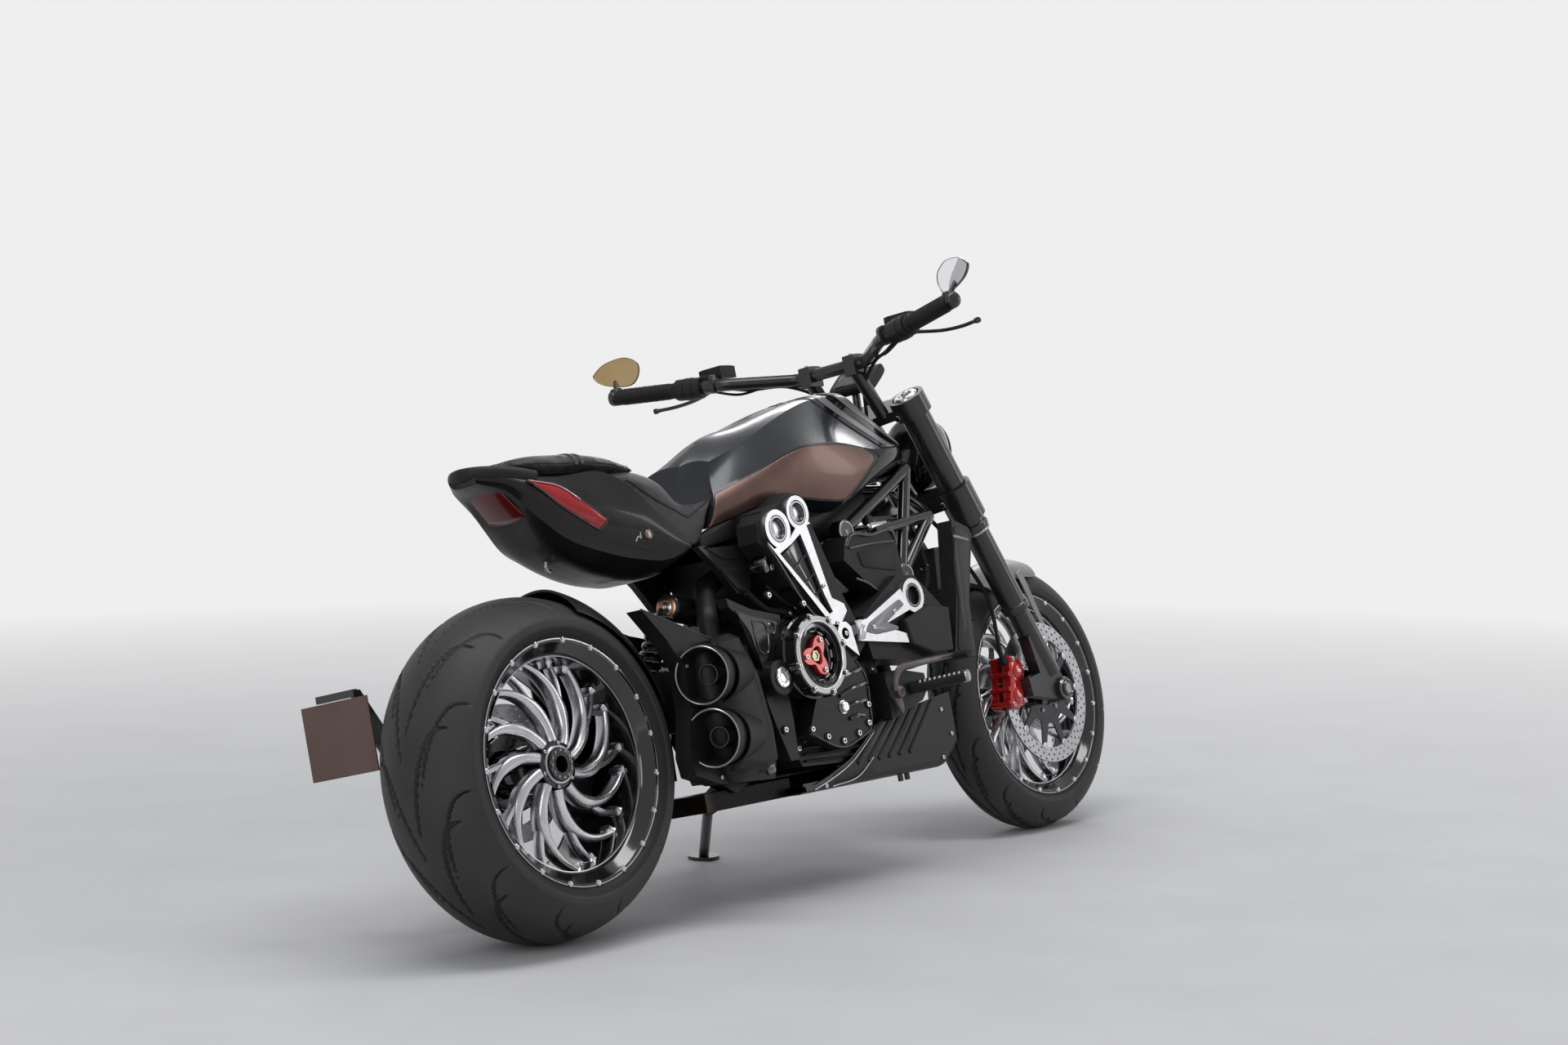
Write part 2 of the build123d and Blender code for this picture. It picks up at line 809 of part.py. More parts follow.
with BuildPart() as rear_hugger:
    with BuildSketch(Plane((0, 0, rear_axle_z), x_dir=(0, 1, 0), z_dir=(1, 0, 0))) as hugger_band:
        with BuildLine():
            ThreePointArc((-112, 290), (0, 346), (112, 290))
            ThreePointArc((-112, 286), (0, 341), (112, 286))
            Line((-112, 290), (-112, 286))
            Line((112, 290), (112, 286))
        make_face()
rear_hugger_profile = hugger_band.sketch

with BuildPart() as rear_hugger:
    revolve(rear_hugger_profile.rotate(rear_axle_line, 74), axis=rear_axle_line, revolution_arc=-58)
    stay_outline = [(180, 399), (250, 403), (205, 580), (160, 592)]
    side_plate(stay_outline, swingarm_inner - seat_gap, swingarm_inner - seat_gap - 4)
    drum(176, 579, swingarm_inner - seat_gap, 96, 9)
rear_hugger.part.label = "rear_hugger"

# Cast plates that carry the swingarm's pivot, one each side.
pivot_outline = [
    (436, 590),
    (504, 563),
    (592, 544),
    (588, 490),
    (574, 440),
    (576, 330),
    (572, 256),
    (546, 256),
    (520, 330),
    (505, 381),
    (514, 446),
    (500, 520),
    (440, 572),
]
with BuildPart() as pivot_plates:
    for near, far in ((-pivot_plate_y, -pivot_plate_y - 26), (pivot_plate_y + 26, pivot_plate_y)):
        side_plate(pivot_outline, near, far)
    for near, far in ((-pivot_plate_y, -202), (195, pivot_plate_y)):
        drum(pivot_x, pivot_z, near, far, 34)
    drum(pivot_x, pivot_z, 400, -400, 12, mode=Mode.SUBTRACT)
    drum(clutch_x, clutch_z, -100, -300, clutch_radius + 1, mode=Mode.SUBTRACT)
    drum(output_x, output_z, 300, 100, output_radius + belt_thickness + 2, mode=Mode.SUBTRACT)
pivot_plates.part.label = "pivot_plates"

# Clamps: height, plate thickness, and where the sleeve round each leg starts and how long it is.
clamps = (
    (945, 22, -12, 46),
    (738, 26, -48, 84),
)
leg_offset = (front_axle_z * rake_slope - trail) * cos(radians(rake_angle))

with BuildPart() as triple_clamps:
    clamp_tilt = (-rake_slope, 0, 1)
    for height, thickness, sleeve_start, sleeve_length in clamps:
        plane = Plane((axis_x(height), 0, height), x_dir=(1, 0, rake_slope), z_dir=clamp_tilt)
        with BuildSketch(plane) as clamp_face:
            with Locations((0, -28), (0, 28)):
                Circle(stem_radius + 12)
            with Locations((leg_offset, -fork_spread), (leg_offset, fork_spread)):
                Circle(clamp_sleeve_radius - 6)
            make_hull()
        extrude(clamp_face.sketch, amount=thickness)
        with BuildSketch(plane.offset(sleeve_start)) as sleeve_face:
            with Locations((leg_offset, -fork_spread), (leg_offset, fork_spread)):
                Circle(clamp_sleeve_radius)
        extrude(sleeve_face.sketch, amount=sleeve_length)
    rod((axis_x(738), 0, 738), (axis_x(960), 0, 960), stem_radius)
    for side in (-1, 1):
        leg = Plane((leg_x(600), side * fork_spread, 600), z_dir=clamp_tilt)
        with Locations(leg):
            Cylinder(outer_tube_radius, 600, align=base, mode=Mode.SUBTRACT)
triple_clamps.part.label = "triple_clamps"

with BuildPart() as fork_outer_tubes:
    for side in (-1, 1):
        top = (leg_x(fork_cap_height), side * fork_spread, fork_cap_height)
        collar = (leg_x(collar_height), side * fork_spread, collar_height)
        end = (leg_x(outer_tube_end), side * fork_spread, outer_tube_end)
        rod(collar, top, outer_tube_radius)
        rod(end, collar, lower_sleeve_radius)
        with Locations(Plane(end, z_dir=clamp_tilt)):
            Cylinder(stanchion_radius, 140, align=base, mode=Mode.SUBTRACT)
fork_outer_tubes.part.label = "fork_outer_tubes"

with BuildPart() as fork_lowers:
    for side in (-1, 1):
        foot = (leg_x(front_axle_z + 40), side * fork_spread, front_axle_z + 40)
        inside = (leg_x(outer_tube_end + 110), side * fork_spread, outer_tube_end + 110)
        rod(foot, inside, stanchion_radius)
        near = side * fork_spread + 22
        drum(wheelbase, front_axle_z, near, near - 44, 27)
        side_plate(
            [
                (wheelbase - 26, front_axle_z - 20),
                (wheelbase + 24, front_axle_z),
                (leg_x(430) + 24, 430),
                (leg_x(430) - 30, 430),
                (wheelbase - 78, front_axle_z + 44),
                (wheelbase - 126, front_axle_z + 36),
                (wheelbase - 120, front_axle_z - 4),
            ],
            near - 8,
            near - 36,
        )
    drum(wheelbase, front_axle_z, 200, -200, front_axle_radius, mode=Mode.SUBTRACT)
fork_lowers.part.label = "fork_lowers"

with BuildPart() as front_axle:
    drum(wheelbase, front_axle_z, 136, -136, front_axle_radius)
    drum(wheelbase, front_axle_z, 142, fork_spread + 22, 17)
    drum(wheelbase, front_axle_z, -fork_spread - 22, -142, 17)
front_axle.part.label = "front_axle"

caliper_x = wheelbase - 137
caliper_z = front_axle_z + 30
with BuildPart() as front_calipers:
    for side in (-1, 1):
        with Locations(
            Plane(
                (caliper_x, side * (front_disc_y + 3), caliper_z),
                x_dir=(0.97, 0, -0.25),
                z_dir=(0, -1, 0),
            ),
        ):
            Box(62, 122, 64, align=middle)
    fillet(front_calipers.edges(), 9)
    for outer, inner in ((82, 68), (-67, -82)):
        drum(wheelbase, front_axle_z, outer, inner, front_disc_radius + 5, mode=Mode.SUBTRACT)
    add(fork_lowers.part, mode=Mode.SUBTRACT)
    drum(wheelbase, front_axle_z, 65, -65, front_tyre_radius + 6, mode=Mode.SUBTRACT)
front_calipers.part.label = "front_calipers"

fender_stay = [
    (wheelbase + dx, front_axle_z + dz) for dx, dz in ((-43, 198), (25, 198), (47, 270), (-35, 280))
]
fender_leg = [
    (wheelbase + dx, front_axle_z + dz) for dx, dz in ((-43, 198), (25, 198), (-25, 103), (-65, 103))
]
with BuildPart() as front_fender:
    with BuildSketch(Plane((wheelbase, 0, front_axle_z), x_dir=(0, 1, 0), z_dir=(1, 0, 0))) as fender_band:
        with BuildLine():
            ThreePointArc((-70, 272), (0, 318), (70, 272))
            ThreePointArc((-66, 271), (0, 313), (66, 271))
            Line((-70, 272), (-66, 271))
            Line((70, 272), (66, 271))
        make_face()
    revolve(fender_band.sketch.rotate(front_axle_line, 34), axis=front_axle_line, revolution_arc=-62)
    for outer, inner in ((86.5, 69), (-69, -86.5)):
        side_plate(fender_stay, outer, inner)
    for outer, inner in ((86.5, 82.5), (-82.5, -86.5)):
        side_plate(fender_leg, outer, inner)
    for outer, inner in ((97.7, 86.5), (-86.5, -97.7)):
        drum(wheelbase - 53, front_axle_z + 116, outer, inner, 9)
    add(fork_lowers.part, mode=Mode.SUBTRACT)
front_fender.part.label = "front_fender"

# Handlebar: its run on the right from the risers outward, then the other side alike.
riser_x = axis_x(1070) - 15.6
riser_y = 62
bend_x = riser_x - 106
bar_end_x = riser_x - 183
bar_end_z = 1116
bar_points = (
    (riser_x - 4, -95, 1072),
    (bend_x, -215, 1090),
    (bar_end_x, -bar_half_width, bar_end_z),
)
with BuildPart() as handlebar:
    whole_run = [left(p) for p in reversed(bar_points)] + list(bar_points)
    tube(whole_run, bar_radius, 50)
    for side in (-1, 1):
        rod((axis_x(955) - 8, side * riser_y, 955), (riser_x, side * riser_y, 1056), 15)
    with Locations((riser_x, riser_y, 1070), (riser_x, -riser_y, 1070)):
        Box(44, 30, 44)
    add(triple_clamps.part, mode=Mode.SUBTRACT)
handlebar.part.label = "handlebar"

grip_axis = Vector(bend_x - bar_end_x, bar_half_width - 215, 1090 - bar_end_z).normalized()
with BuildPart() as hand_grips:
    for side in (-1, 1):
        tip = Vector(bar_end_x, side * bar_half_width, bar_end_z)
        along = Vector(grip_axis.X, -side * grip_axis.Y, grip_axis.Z)
        with Locations(Plane(tip - along * 6, z_dir=along)):
            Cylinder(grip_radius, 150, align=base)
            Cylinder(bar_radius, 150, align=base, mode=Mode.SUBTRACT)
hand_grips.part.label = "hand_grips"

with BuildPart() as switchgear:
    for side in (-1, 1):
        tip = Vector(bar_end_x, side * bar_half_width, bar_end_z)
        along = Vector(grip_axis.X, -side * grip_axis.Y, grip_axis.Z)
        start = tip + along * 150
        with Locations(Plane(start, z_dir=along)):
            Cylinder(24, 46, align=base)
        block = start + along * 60
        with Locations(Plane(block + Vector(22, 0, 6), z_dir=along)):
            Box(40, 34, 40, align=middle)
        with Locations((block.X + 48, block.Y, block.Z + 28)):
            Box(52, 62, 26, align=middle)
        with Locations(Plane(start - along * 10, z_dir=along)):
            Cylinder(bar_radius, 160, align=base, mode=Mode.SUBTRACT)
switchgear.part.label = "switchgear"

with BuildPart() as control_levers:
    for side in (-1, 1):
        lever_run = (
            (bend_x + 24, side * 268, 1098),
            (bend_x + 36, side * 330, 1094),
            (bend_x + 2, side * 450, 1100),
        )
        tube(lever_run, 6, 60)
    add(switchgear.part, mode=Mode.SUBTRACT)
control_levers.part.label = "control_levers"

# Leaf-shaped mirrors on short stems out of the bar ends.
mirror_length = 112
mirror_height = 62
with BuildPart() as mirrors:
    for side in (-1, 1):
        tip = Vector(bar_end_x, side * bar_half_width, bar_end_z)
        along = Vector(grip_axis.X, -side * grip_axis.Y, grip_axis.Z)
        rod(tip - along * 6.3, tip - along * 20, grip_radius - 2)
        rod(tip - along * 15, (bar_end_x + 14, side * (bar_half_width + 15), 1152), 6)
        pane = Plane(
            (bar_end_x + 20, side * (bar_half_width + 18), 1176),
            x_dir=(0, side, 0.35),
            z_dir=(-1, 0, 0.1),
        )
        with BuildSketch(pane) as glass:
            with BuildLine():
                over = ThreePointArc(
                    (-mirror_length / 2, 0), (-10, mirror_height / 2), (mirror_length / 2, 0)
                )
                ThreePointArc(over @ 1, (-10, -mirror_height / 2), over @ 0)
            make_face()
        extrude(glass.sketch, amount=12)
mirrors.part.label = "mirrors"

with BuildPart() as headlight:
    lamp_plane = Plane((axis_x(884) + 89, 0, 884), x_dir=(0, 1, 0), z_dir=(1, 0, -0.12))
    with BuildSketch(lamp_plane):
        Ellipse(54, 62)
    with BuildSketch(lamp_plane.offset(50)):
        Ellipse(76, 88)
    with BuildSketch(lamp_plane.offset(88)):
        Ellipse(62, 74)
    loft()
    add(triple_clamps.part, mode=Mode.SUBTRACT)
headlight.part.label = "headlight"

with BuildPart() as instrument:
    with Locations(Plane((riser_x + 80, 0, 1046), x_dir=(0, 1, 0), z_dir=(-0.6, 0, 0.8))):
        Box(110, 74, 22)
    rod((riser_x + 70, 0, 1036), (riser_x + 64, 0, 962), 9)
    add(triple_clamps.part, mode=Mode.SUBTRACT)
instrument.part.label = "instrument"

with BuildPart() as radiator:
    side_plate([(1204, 430), (1252, 430), (1284, 652), (1236, 652)], 116, -116)
    for side_y in (76, -62):
        side_plate([(1240, 650), (1272, 650), (1222, 728), (1200, 728)], side_y, side_y - 14)
    for side_y in (157, -116):
        side_plate([(1206, 450), (1240, 450), (1256, 560), (1222, 560)], side_y, side_y - 41)
    add(trellis_frame.part, mode=Mode.SUBTRACT)
radiator.part.label = "radiator"

with BuildPart() as radiator_shrouds:
    shroud = [(1130, 412), (1206, 402), (1216, 520), (1270, 664), (1262, 680), (1206, 702), (1170, 526)]
    for near, far in ((-157.3, -196), (196, 157.3)):
        side_plate(shroud, near, far)
    fillet(radiator_shrouds.edges().filter_by(Plane.XZ, reverse=True), 6)
radiator_shrouds.part.label = "radiator_shrouds"

with BuildPart() as belly_pan:
    side_plate([(604, 180), (1050, 136), (1130, 330), (900, 222), (640, 222)], 160, -160)
    side_plate(
        [(590, 190), (1045, 144), (1122, 335), (1122, 400), (590, 400)],
        154,
        -154,
        mode=Mode.SUBTRACT,
    )
    with Locations((700, 160, 220)):
        Box(150, 80, 100, mode=Mode.SUBTRACT)
    for side_y in (-100, 100):
        rod((760, side_y, 168), (760, side_y, 244), 12)
    add(engine_block.part, mode=Mode.SUBTRACT)
belly_pan.part.label = "belly_pan"

with BuildPart() as intake_covers:
    cover = [(842, 640), (860, 690), (1030, 690), (1040, 560), (960, 548)]
    side_plate(cover, -110, -168)
    side_plate(cover, 168, 110)
    add(belt_housings.part, mode=Mode.SUBTRACT)
    add(trellis_frame.part, mode=Mode.SUBTRACT)
intake_covers.part.label = "intake_covers"

with BuildPart() as side_covers:
    cover = [(449, 702), (560, 702), (660, 735), (600, 640), (579, 596), (545, 600), (500, 655)]
    side_plate(cover, -head_half_width - seat_gap, -118)
    side_plate(cover, 118, head_half_width + seat_gap)
    add(belt_housings.part, mode=Mode.SUBTRACT)
    add(rider_seat.part, mode=Mode.SUBTRACT)
side_covers.part.label = "side_covers"

with BuildPart() as shock_absorber:
    rod((416, -40, 596), (580, -10, 570), 26)
    rod((365, 0, 462), (424, -30, 590), 18)
    add(engine_block.part, mode=Mode.SUBTRACT)
    add(swingarm.part, mode=Mode.SUBTRACT)
shock_absorber.part.label = "shock_absorber"

# The muffler's shield sweeps down beside the tyre; the outlets look back and out of a thicker cover.
shield_outline = [
    (196, 588),
    (330, 536),
    (437, 492),
    (474, 467),
    (496, 348),
    (512, 262),
    (500, 228),
    (335, 238),
    (268, 262),
    (262, 300),
    (285, 388),
    (290, 466),
    (252, 526),
]
cover_outline = [
    (352, 512),
    (440, 486),
    (470, 440),
    (486, 330),
    (484, 262),
    (440, 244),
    (352, 258),
    (330, 385),
]
with BuildPart() as muffler:
    side_plate(cover_outline, -127, -206)
    fillet(muffler.faces().sort_by(Axis.Y)[0].edges(), 22)
    side_plate(shield_outline, -127, -166)
    side_plate(
        [
            (372, 508),
            (440, 480),
            (462, 400),
            (480, 300),
            (480, 235),
            (420, 215),
            (345, 258),
            (372, 300),
        ],
        -96,
        -128,
    )
    inward = Vector(cos(radians(outlet_splay)), sin(radians(outlet_splay)), 0)
    for height in (outlet_upper_z, outlet_lower_z):
        mouth = Vector(outlet_x, -outlet_y, height)
        with Locations(Plane(mouth + inward * outlet_length / 2, z_dir=-inward)):
            Cone(outlet_radius - 12, outlet_radius, outlet_length)
    for height in (outlet_upper_z, outlet_lower_z):
        mouth = Vector(outlet_x, -outlet_y, height)
        with Locations(Plane(mouth + inward * (outlet_length / 2 - 12), z_dir=-inward)):
            Cone(outlet_radius - 24, outlet_radius - outlet_wall, outlet_length - 24, mode=Mode.SUBTRACT)
        with Locations(Plane(mouth + inward * 30, z_dir=inward)):
            Cylinder(20, outlet_length - 34, align=base)
            Cylinder(17, outlet_length - 40, align=base, mode=Mode.SUBTRACT)
muffler.part.label = "muffler"

with BuildPart() as collector_box:
    with Locations((466, 0, 205)):
        Box(262, 240, 36)
    add(muffler.part, mode=Mode.SUBTRACT)
collector_box.part.label = "collector_box"

with BuildPart() as header_pipes:
    tube(((600, -50, 650), (505, -66, 624), (446, -112, 560), (436, -124, 462)), 21, 34)
    tube(((1060, -40, 470), (1078, -40, 400), (1085, -40, 300), (1020, -40, 209), (560, -40, 209)), 17, 60)
    add(engine_block.part, mode=Mode.SUBTRACT)
    add(muffler.part, mode=Mode.SUBTRACT)
    add(collector_box.part, mode=Mode.SUBTRACT)
header_pipes.part.label = "header_pipes"

with BuildPart() as plate_holder:
    side_plate(
        [(-40, 352), (-40, 304), (-150, 318), (-244, 500), (-244, 530), (-226, 530), (-130, 372)],
        swingarm_outer + 8,
        swingarm_outer + seat_gap,
    )
    with Locations((-237, 230, 525)):
        Box(14, 100, 14)
plate_holder.part.label = "plate_holder"

with BuildPart() as licence_plate:
    with Locations((-246, 230, 446)):
        Box(3, 180, 140)
licence_plate.part.label = "licence_plate"

with BuildPart() as footpegs:
    bracket = [(884, 300), (1000, 330), (1024, 352), (1020, 385), (940, 400), (884, 400)]
    side_plate(bracket, -crankcase_half_width + 4, -186)
    side_plate(bracket, 186, crankcase_half_width)
    for side in (-1, 1):
        rod((968, side * 186, 358), (1004, side * 300, 362), 13)
footpegs.part.label = "footpegs"

with BuildPart() as foot_pedals:
    for side in (-1, 1):
        rod((900, side * 186.3, 352), (900, side * 214, 352), 13)
        tube(((900, side * 206, 352), (905, side * 208, 392), (1085, side * 222, 408)), 8, 20)
        rod((1085, side * 204, 408), (1085, side * 262, 408), 9)
foot_pedals.part.label = "foot_pedals"


# The belt's loop round the gearbox pulley and the wheel's pulley.
def belt_loop(extra):
    with BuildSketch(Plane.XZ.offset(-pulley_y - pulley_width + 3)) as loop:
        with Locations((0, rear_axle_z)):
            Circle(pulley_radius + extra)
        with Locations((output_x, output_z)):
            Circle(output_radius + extra)
        make_hull()
    return loop.sketch


with BuildPart() as drive_belt:
    extrude(belt_loop(joint_gap + belt_thickness), amount=pulley_width - 6)
    extrude(belt_loop(joint_gap), amount=pulley_width - 6, mode=Mode.SUBTRACT)
drive_belt.part.label = "drive_belt"

with BuildPart() as side_stand:
    with Locations(Plane(stand_foot, z_dir=floor_normal)):
        Cylinder(stand_foot_radius, stand_foot_thickness, align=base)
    rod(stand_foot + Vector(*floor_normal) * stand_foot_thickness / 2, stand_pivot, stand_leg_radius)
    with Locations(stand_plane.offset(-8)):
        Cylinder(18, 16, align=base)
    with Locations(stand_plane.offset(8)):
        Cylinder(40, 20, align=base, mode=Mode.SUBTRACT)
    with Locations(stand_plane.offset(-28)):
        Cylinder(30, 20, align=base, mode=Mode.SUBTRACT)
side_stand.part.label = "side_stand"

pieces = (
    trellis_frame,
    engine_block,
    clutch_cover,
    clutch_plate,
    belt_housings,
    belt_covers,
    alternator_cover,
    fuel_tank,
    rider_seat,
    passenger_seat,
    tail_cowl,
    tail_lamps,
    side_covers,
    pivot_plates,
    swingarm,
    shock_absorber,
    rear_hugger,
    plate_holder,
    licence_plate,
    muffler,
    header_pipes,
    collector_box,
    radiator,
    radiator_shrouds,
    belly_pan,
    footpegs,
    foot_pedals,
    intake_covers,
    rear_caliper,
    drive_belt,
    triple_clamps,
    fork_outer_tubes,
    fork_lowers,
    front_axle,
    front_fender,
    front_calipers,
    handlebar,
    hand_grips,
    control_levers,
    switchgear,
    mirrors,
    headlight,
    instrument,
    front_tyre,
    front_rim,
    front_discs,
    rear_tyre,
    rear_rim,
    rear_disc,
    rear_pulley,
    rear_axle,
    side_stand,
)

# Lean the machine onto its stand and stand the middle of its box on the origin.
leaned = Location((0, 0, 0), (-lean_angle, 0, 0))
boxes = [piece.part.moved(leaned).bounding_box() for piece in pieces]
middle_x = (min(box.min.X for box in boxes) + max(box.max.X for box in boxes)) / 2
middle_y = (min(box.min.Y for box in boxes) + max(box.max.Y for box in boxes)) / 2
parked = Location((-middle_x, -middle_y, 0)) * leaned

os.makedirs("parts", exist_ok=True)
for piece in pieces:
    piece.part.locate(parked)
    export_step(piece.part, f"parts/{piece.part.label}.step")

joint_lines = (
    ("steering", (axis_x(850), 0, 850), (-rake_slope, 0, 1)),
    ("front_wheel", (wheelbase, 0, front_axle_z), (0, 1, 0)),
    ("rear_wheel", (0, 0, rear_axle_z), (0, 1, 0)),
    ("side_stand", tuple(stand_pivot), tuple(stand_axis)),
)
for name, point, along in joint_lines:
    place = (parked * Location(point)).position
    end = (parked * Location(Vector(*point) + Vector(*along).normalized())).position
    print("joint", name, [round(v, 4) for v in place], [round(v, 6) for v in end - place])
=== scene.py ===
import json

import bmesh
import bpy
import numpy as np
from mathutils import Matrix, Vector


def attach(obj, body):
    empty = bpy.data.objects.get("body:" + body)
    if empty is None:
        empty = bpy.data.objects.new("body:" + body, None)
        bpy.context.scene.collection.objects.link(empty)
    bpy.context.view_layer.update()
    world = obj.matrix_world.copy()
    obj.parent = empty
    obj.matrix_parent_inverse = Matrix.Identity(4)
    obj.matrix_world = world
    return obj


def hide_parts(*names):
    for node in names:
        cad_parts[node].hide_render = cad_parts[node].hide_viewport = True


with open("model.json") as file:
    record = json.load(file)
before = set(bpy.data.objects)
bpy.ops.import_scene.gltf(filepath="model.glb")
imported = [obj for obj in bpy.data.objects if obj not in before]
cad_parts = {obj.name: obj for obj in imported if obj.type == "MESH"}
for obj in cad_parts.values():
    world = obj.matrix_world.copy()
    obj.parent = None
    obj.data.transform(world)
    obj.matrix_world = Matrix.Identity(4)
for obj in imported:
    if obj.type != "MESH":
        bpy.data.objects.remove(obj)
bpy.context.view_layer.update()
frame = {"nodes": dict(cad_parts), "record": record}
nodes = frame["nodes"]
print("frame loaded:", len(nodes), "nodes")

# The upright machine is measured in mm: x ahead of the rear axle, y to the left, z up. It leans on its stand.
stance = {"lean": np.radians(13.2), "rearAxle": (0.0, 0.32813), "frontAxle": (1.615, 0.30174)}
rearHub = next(j for j in frame["record"]["behaviour"]["joints"] if j["name"] == "rear_wheel_spin")["pos_m"]
stance["shiftX"] = rearHub[0]
stance["shiftY"] = rearHub[1] - stance["rearAxle"][1] * np.sin(stance["lean"])


def toWorld(points):
    # upright mm -> parked m: x + shift, (y cos + z sin) + shift, z cos - y sin
    p = np.asarray(points, float) / 1000
    c, s = np.cos(stance["lean"]), np.sin(stance["lean"])
    x, y, z = p[..., 0], p[..., 1], p[..., 2]
    return np.stack([x + stance["shiftX"], y * c + z * s + stance["shiftY"], z * c - y * s], axis=-1)


def toUpright(points):
    # the same turn backwards: parked m -> upright mm
    p = np.asarray(points, float)
    c, s = np.cos(stance["lean"]), np.sin(stance["lean"])
    x, y, z = p[..., 0] - stance["shiftX"], p[..., 1] - stance["shiftY"], p[..., 2]
    return np.stack([x, y * c - z * s, z * c + y * s], axis=-1) * 1000


class Wire:
    # one shader socket; arithmetic on it adds Math nodes
    def __init__(self, shade, socket):
        self.shade, self.socket = shade, socket

    def maths(self, operation, other=None, swap=False, clamp=False):
        pair = {0: self} if other is None else ({0: other, 1: self} if swap else {0: self, 1: other})
        return self.shade.node("ShaderNodeMath", {"operation": operation, "use_clamp": clamp}, pair)

    def __add__(self, other):
        return self.maths("ADD", other)

    __radd__ = __add__

    def __sub__(self, other):
        return self.maths("SUBTRACT", other)

    def __rsub__(self, other):
        return self.maths("SUBTRACT", other, swap=True)

    def __mul__(self, other):
        return self.maths("MULTIPLY", other)

    __rmul__ = __mul__

    def __truediv__(self, other):
        return self.maths("DIVIDE", other)

    def __rtruediv__(self, other):
        return self.maths("DIVIDE", other, swap=True)

    def __gt__(self, other):
        return self.maths("GREATER_THAN", other)

    def __lt__(self, other):
        return self.maths("LESS_THAN", other)

    def clamped(self):
        return self.maths("ADD", 0.0, clamp=True)

    def sine(self):
        return self.maths("SINE")

    def size(self):
        return self.maths("ABSOLUTE")


class Shade:
    # one material with its Principled shader; constants are set straight on the shader
    def __init__(self, name, **constants):
        self.material = bpy.data.materials.new(name)
        self.material.use_nodes = True
        self.tree = self.material.node_tree
        self.shader = self.tree.nodes["Principled BSDF"]
        for label, value in constants.items():
            self.constant(label, value)

    def constant(self, label, value):
        socket = self.shader.inputs[label.replace("_", " ")]
        socket.default_value = (*value, 1) if isinstance(value, tuple) and len(value) == 3 else value

    def node(self, kind, settings=None, links=None, out=0):
        made = self.tree.nodes.new(kind)
        for key, value in (settings or {}).items():
            if key == "stops":
                ramp = made.color_ramp
                while len(ramp.elements) < len(value):
                    ramp.elements.new(0.5)
                for element, (place, tone) in zip(ramp.elements, value):
                    element.position = place
                    element.color = (*tone, 1) if isinstance(tone, tuple) else (tone, tone, tone, 1)
            else:
                setattr(made, key, value)
        for key, value in (links or {}).items():
            socket = made.inputs[key]
            if isinstance(value, Wire):
                self.tree.links.new(value.socket, socket)
            elif isinstance(value, tuple) and socket.type == "RGBA":
                socket.default_value = (*value, 1)
            else:
                socket.default_value = value
        return Wire(self, made.outputs[out])

    def feed(self, label, wire):
        self.tree.links.new(wire.socket, self.shader.inputs[label])

    def place(self):
        return self.node("ShaderNodeTexCoord", out="Object")

    def bikePlace(self, centre=(0.0, 0.0, 0.0)):
        # object coordinates turned upright, with the origin at a point of the upright machine, in metres
        lean = stance["lean"]
        c, s = np.cos(lean), np.sin(lean)
        ox, oy = stance["shiftX"], stance["shiftY"]
        offset = (-ox - centre[0], -oy * c - centre[1], -oy * s - centre[2])
        return self.node(
            "ShaderNodeMapping",
            {"vector_type": "POINT"},
            {"Vector": self.place(), "Location": offset, "Rotation": (lean, 0.0, 0.0)},
        )

    def parts(self, vector):
        split = self.node("ShaderNodeSeparateXYZ", links={"Vector": vector})
        owner = split.socket.node
        return [Wire(self, socket) for socket in owner.outputs]

    def noise(self, scale, detail=3.0, roughness=0.55, vector=None):
        vector = vector or self.place()
        links = {"Vector": vector, "Scale": scale, "Detail": detail, "Roughness": roughness}
        return self.node("ShaderNodeTexNoise", links=links)

    def cells(self, scale, feature="F1"):
        links = {"Vector": self.place(), "Scale": scale}
        return self.node("ShaderNodeTexVoronoi", {"feature": feature}, links)

    def spread(self, wire, low, high, fromLow=0.3, fromHigh=0.7):
        links = {"Value": wire, "From Min": fromLow, "From Max": fromHigh, "To Min": low, "To Max": high}
        return self.node("ShaderNodeMapRange", links=links)

    def blend(self, factor, first, second):
        links = {0: factor, 6: first, 7: second}
        return self.node("ShaderNodeMix", {"data_type": "RGBA"}, links, out=2)

    def bump(self, height, strength, distance=0.001):
        return self.node(
            "ShaderNodeBump", links={"Height": height, "Strength": strength, "Distance": distance})


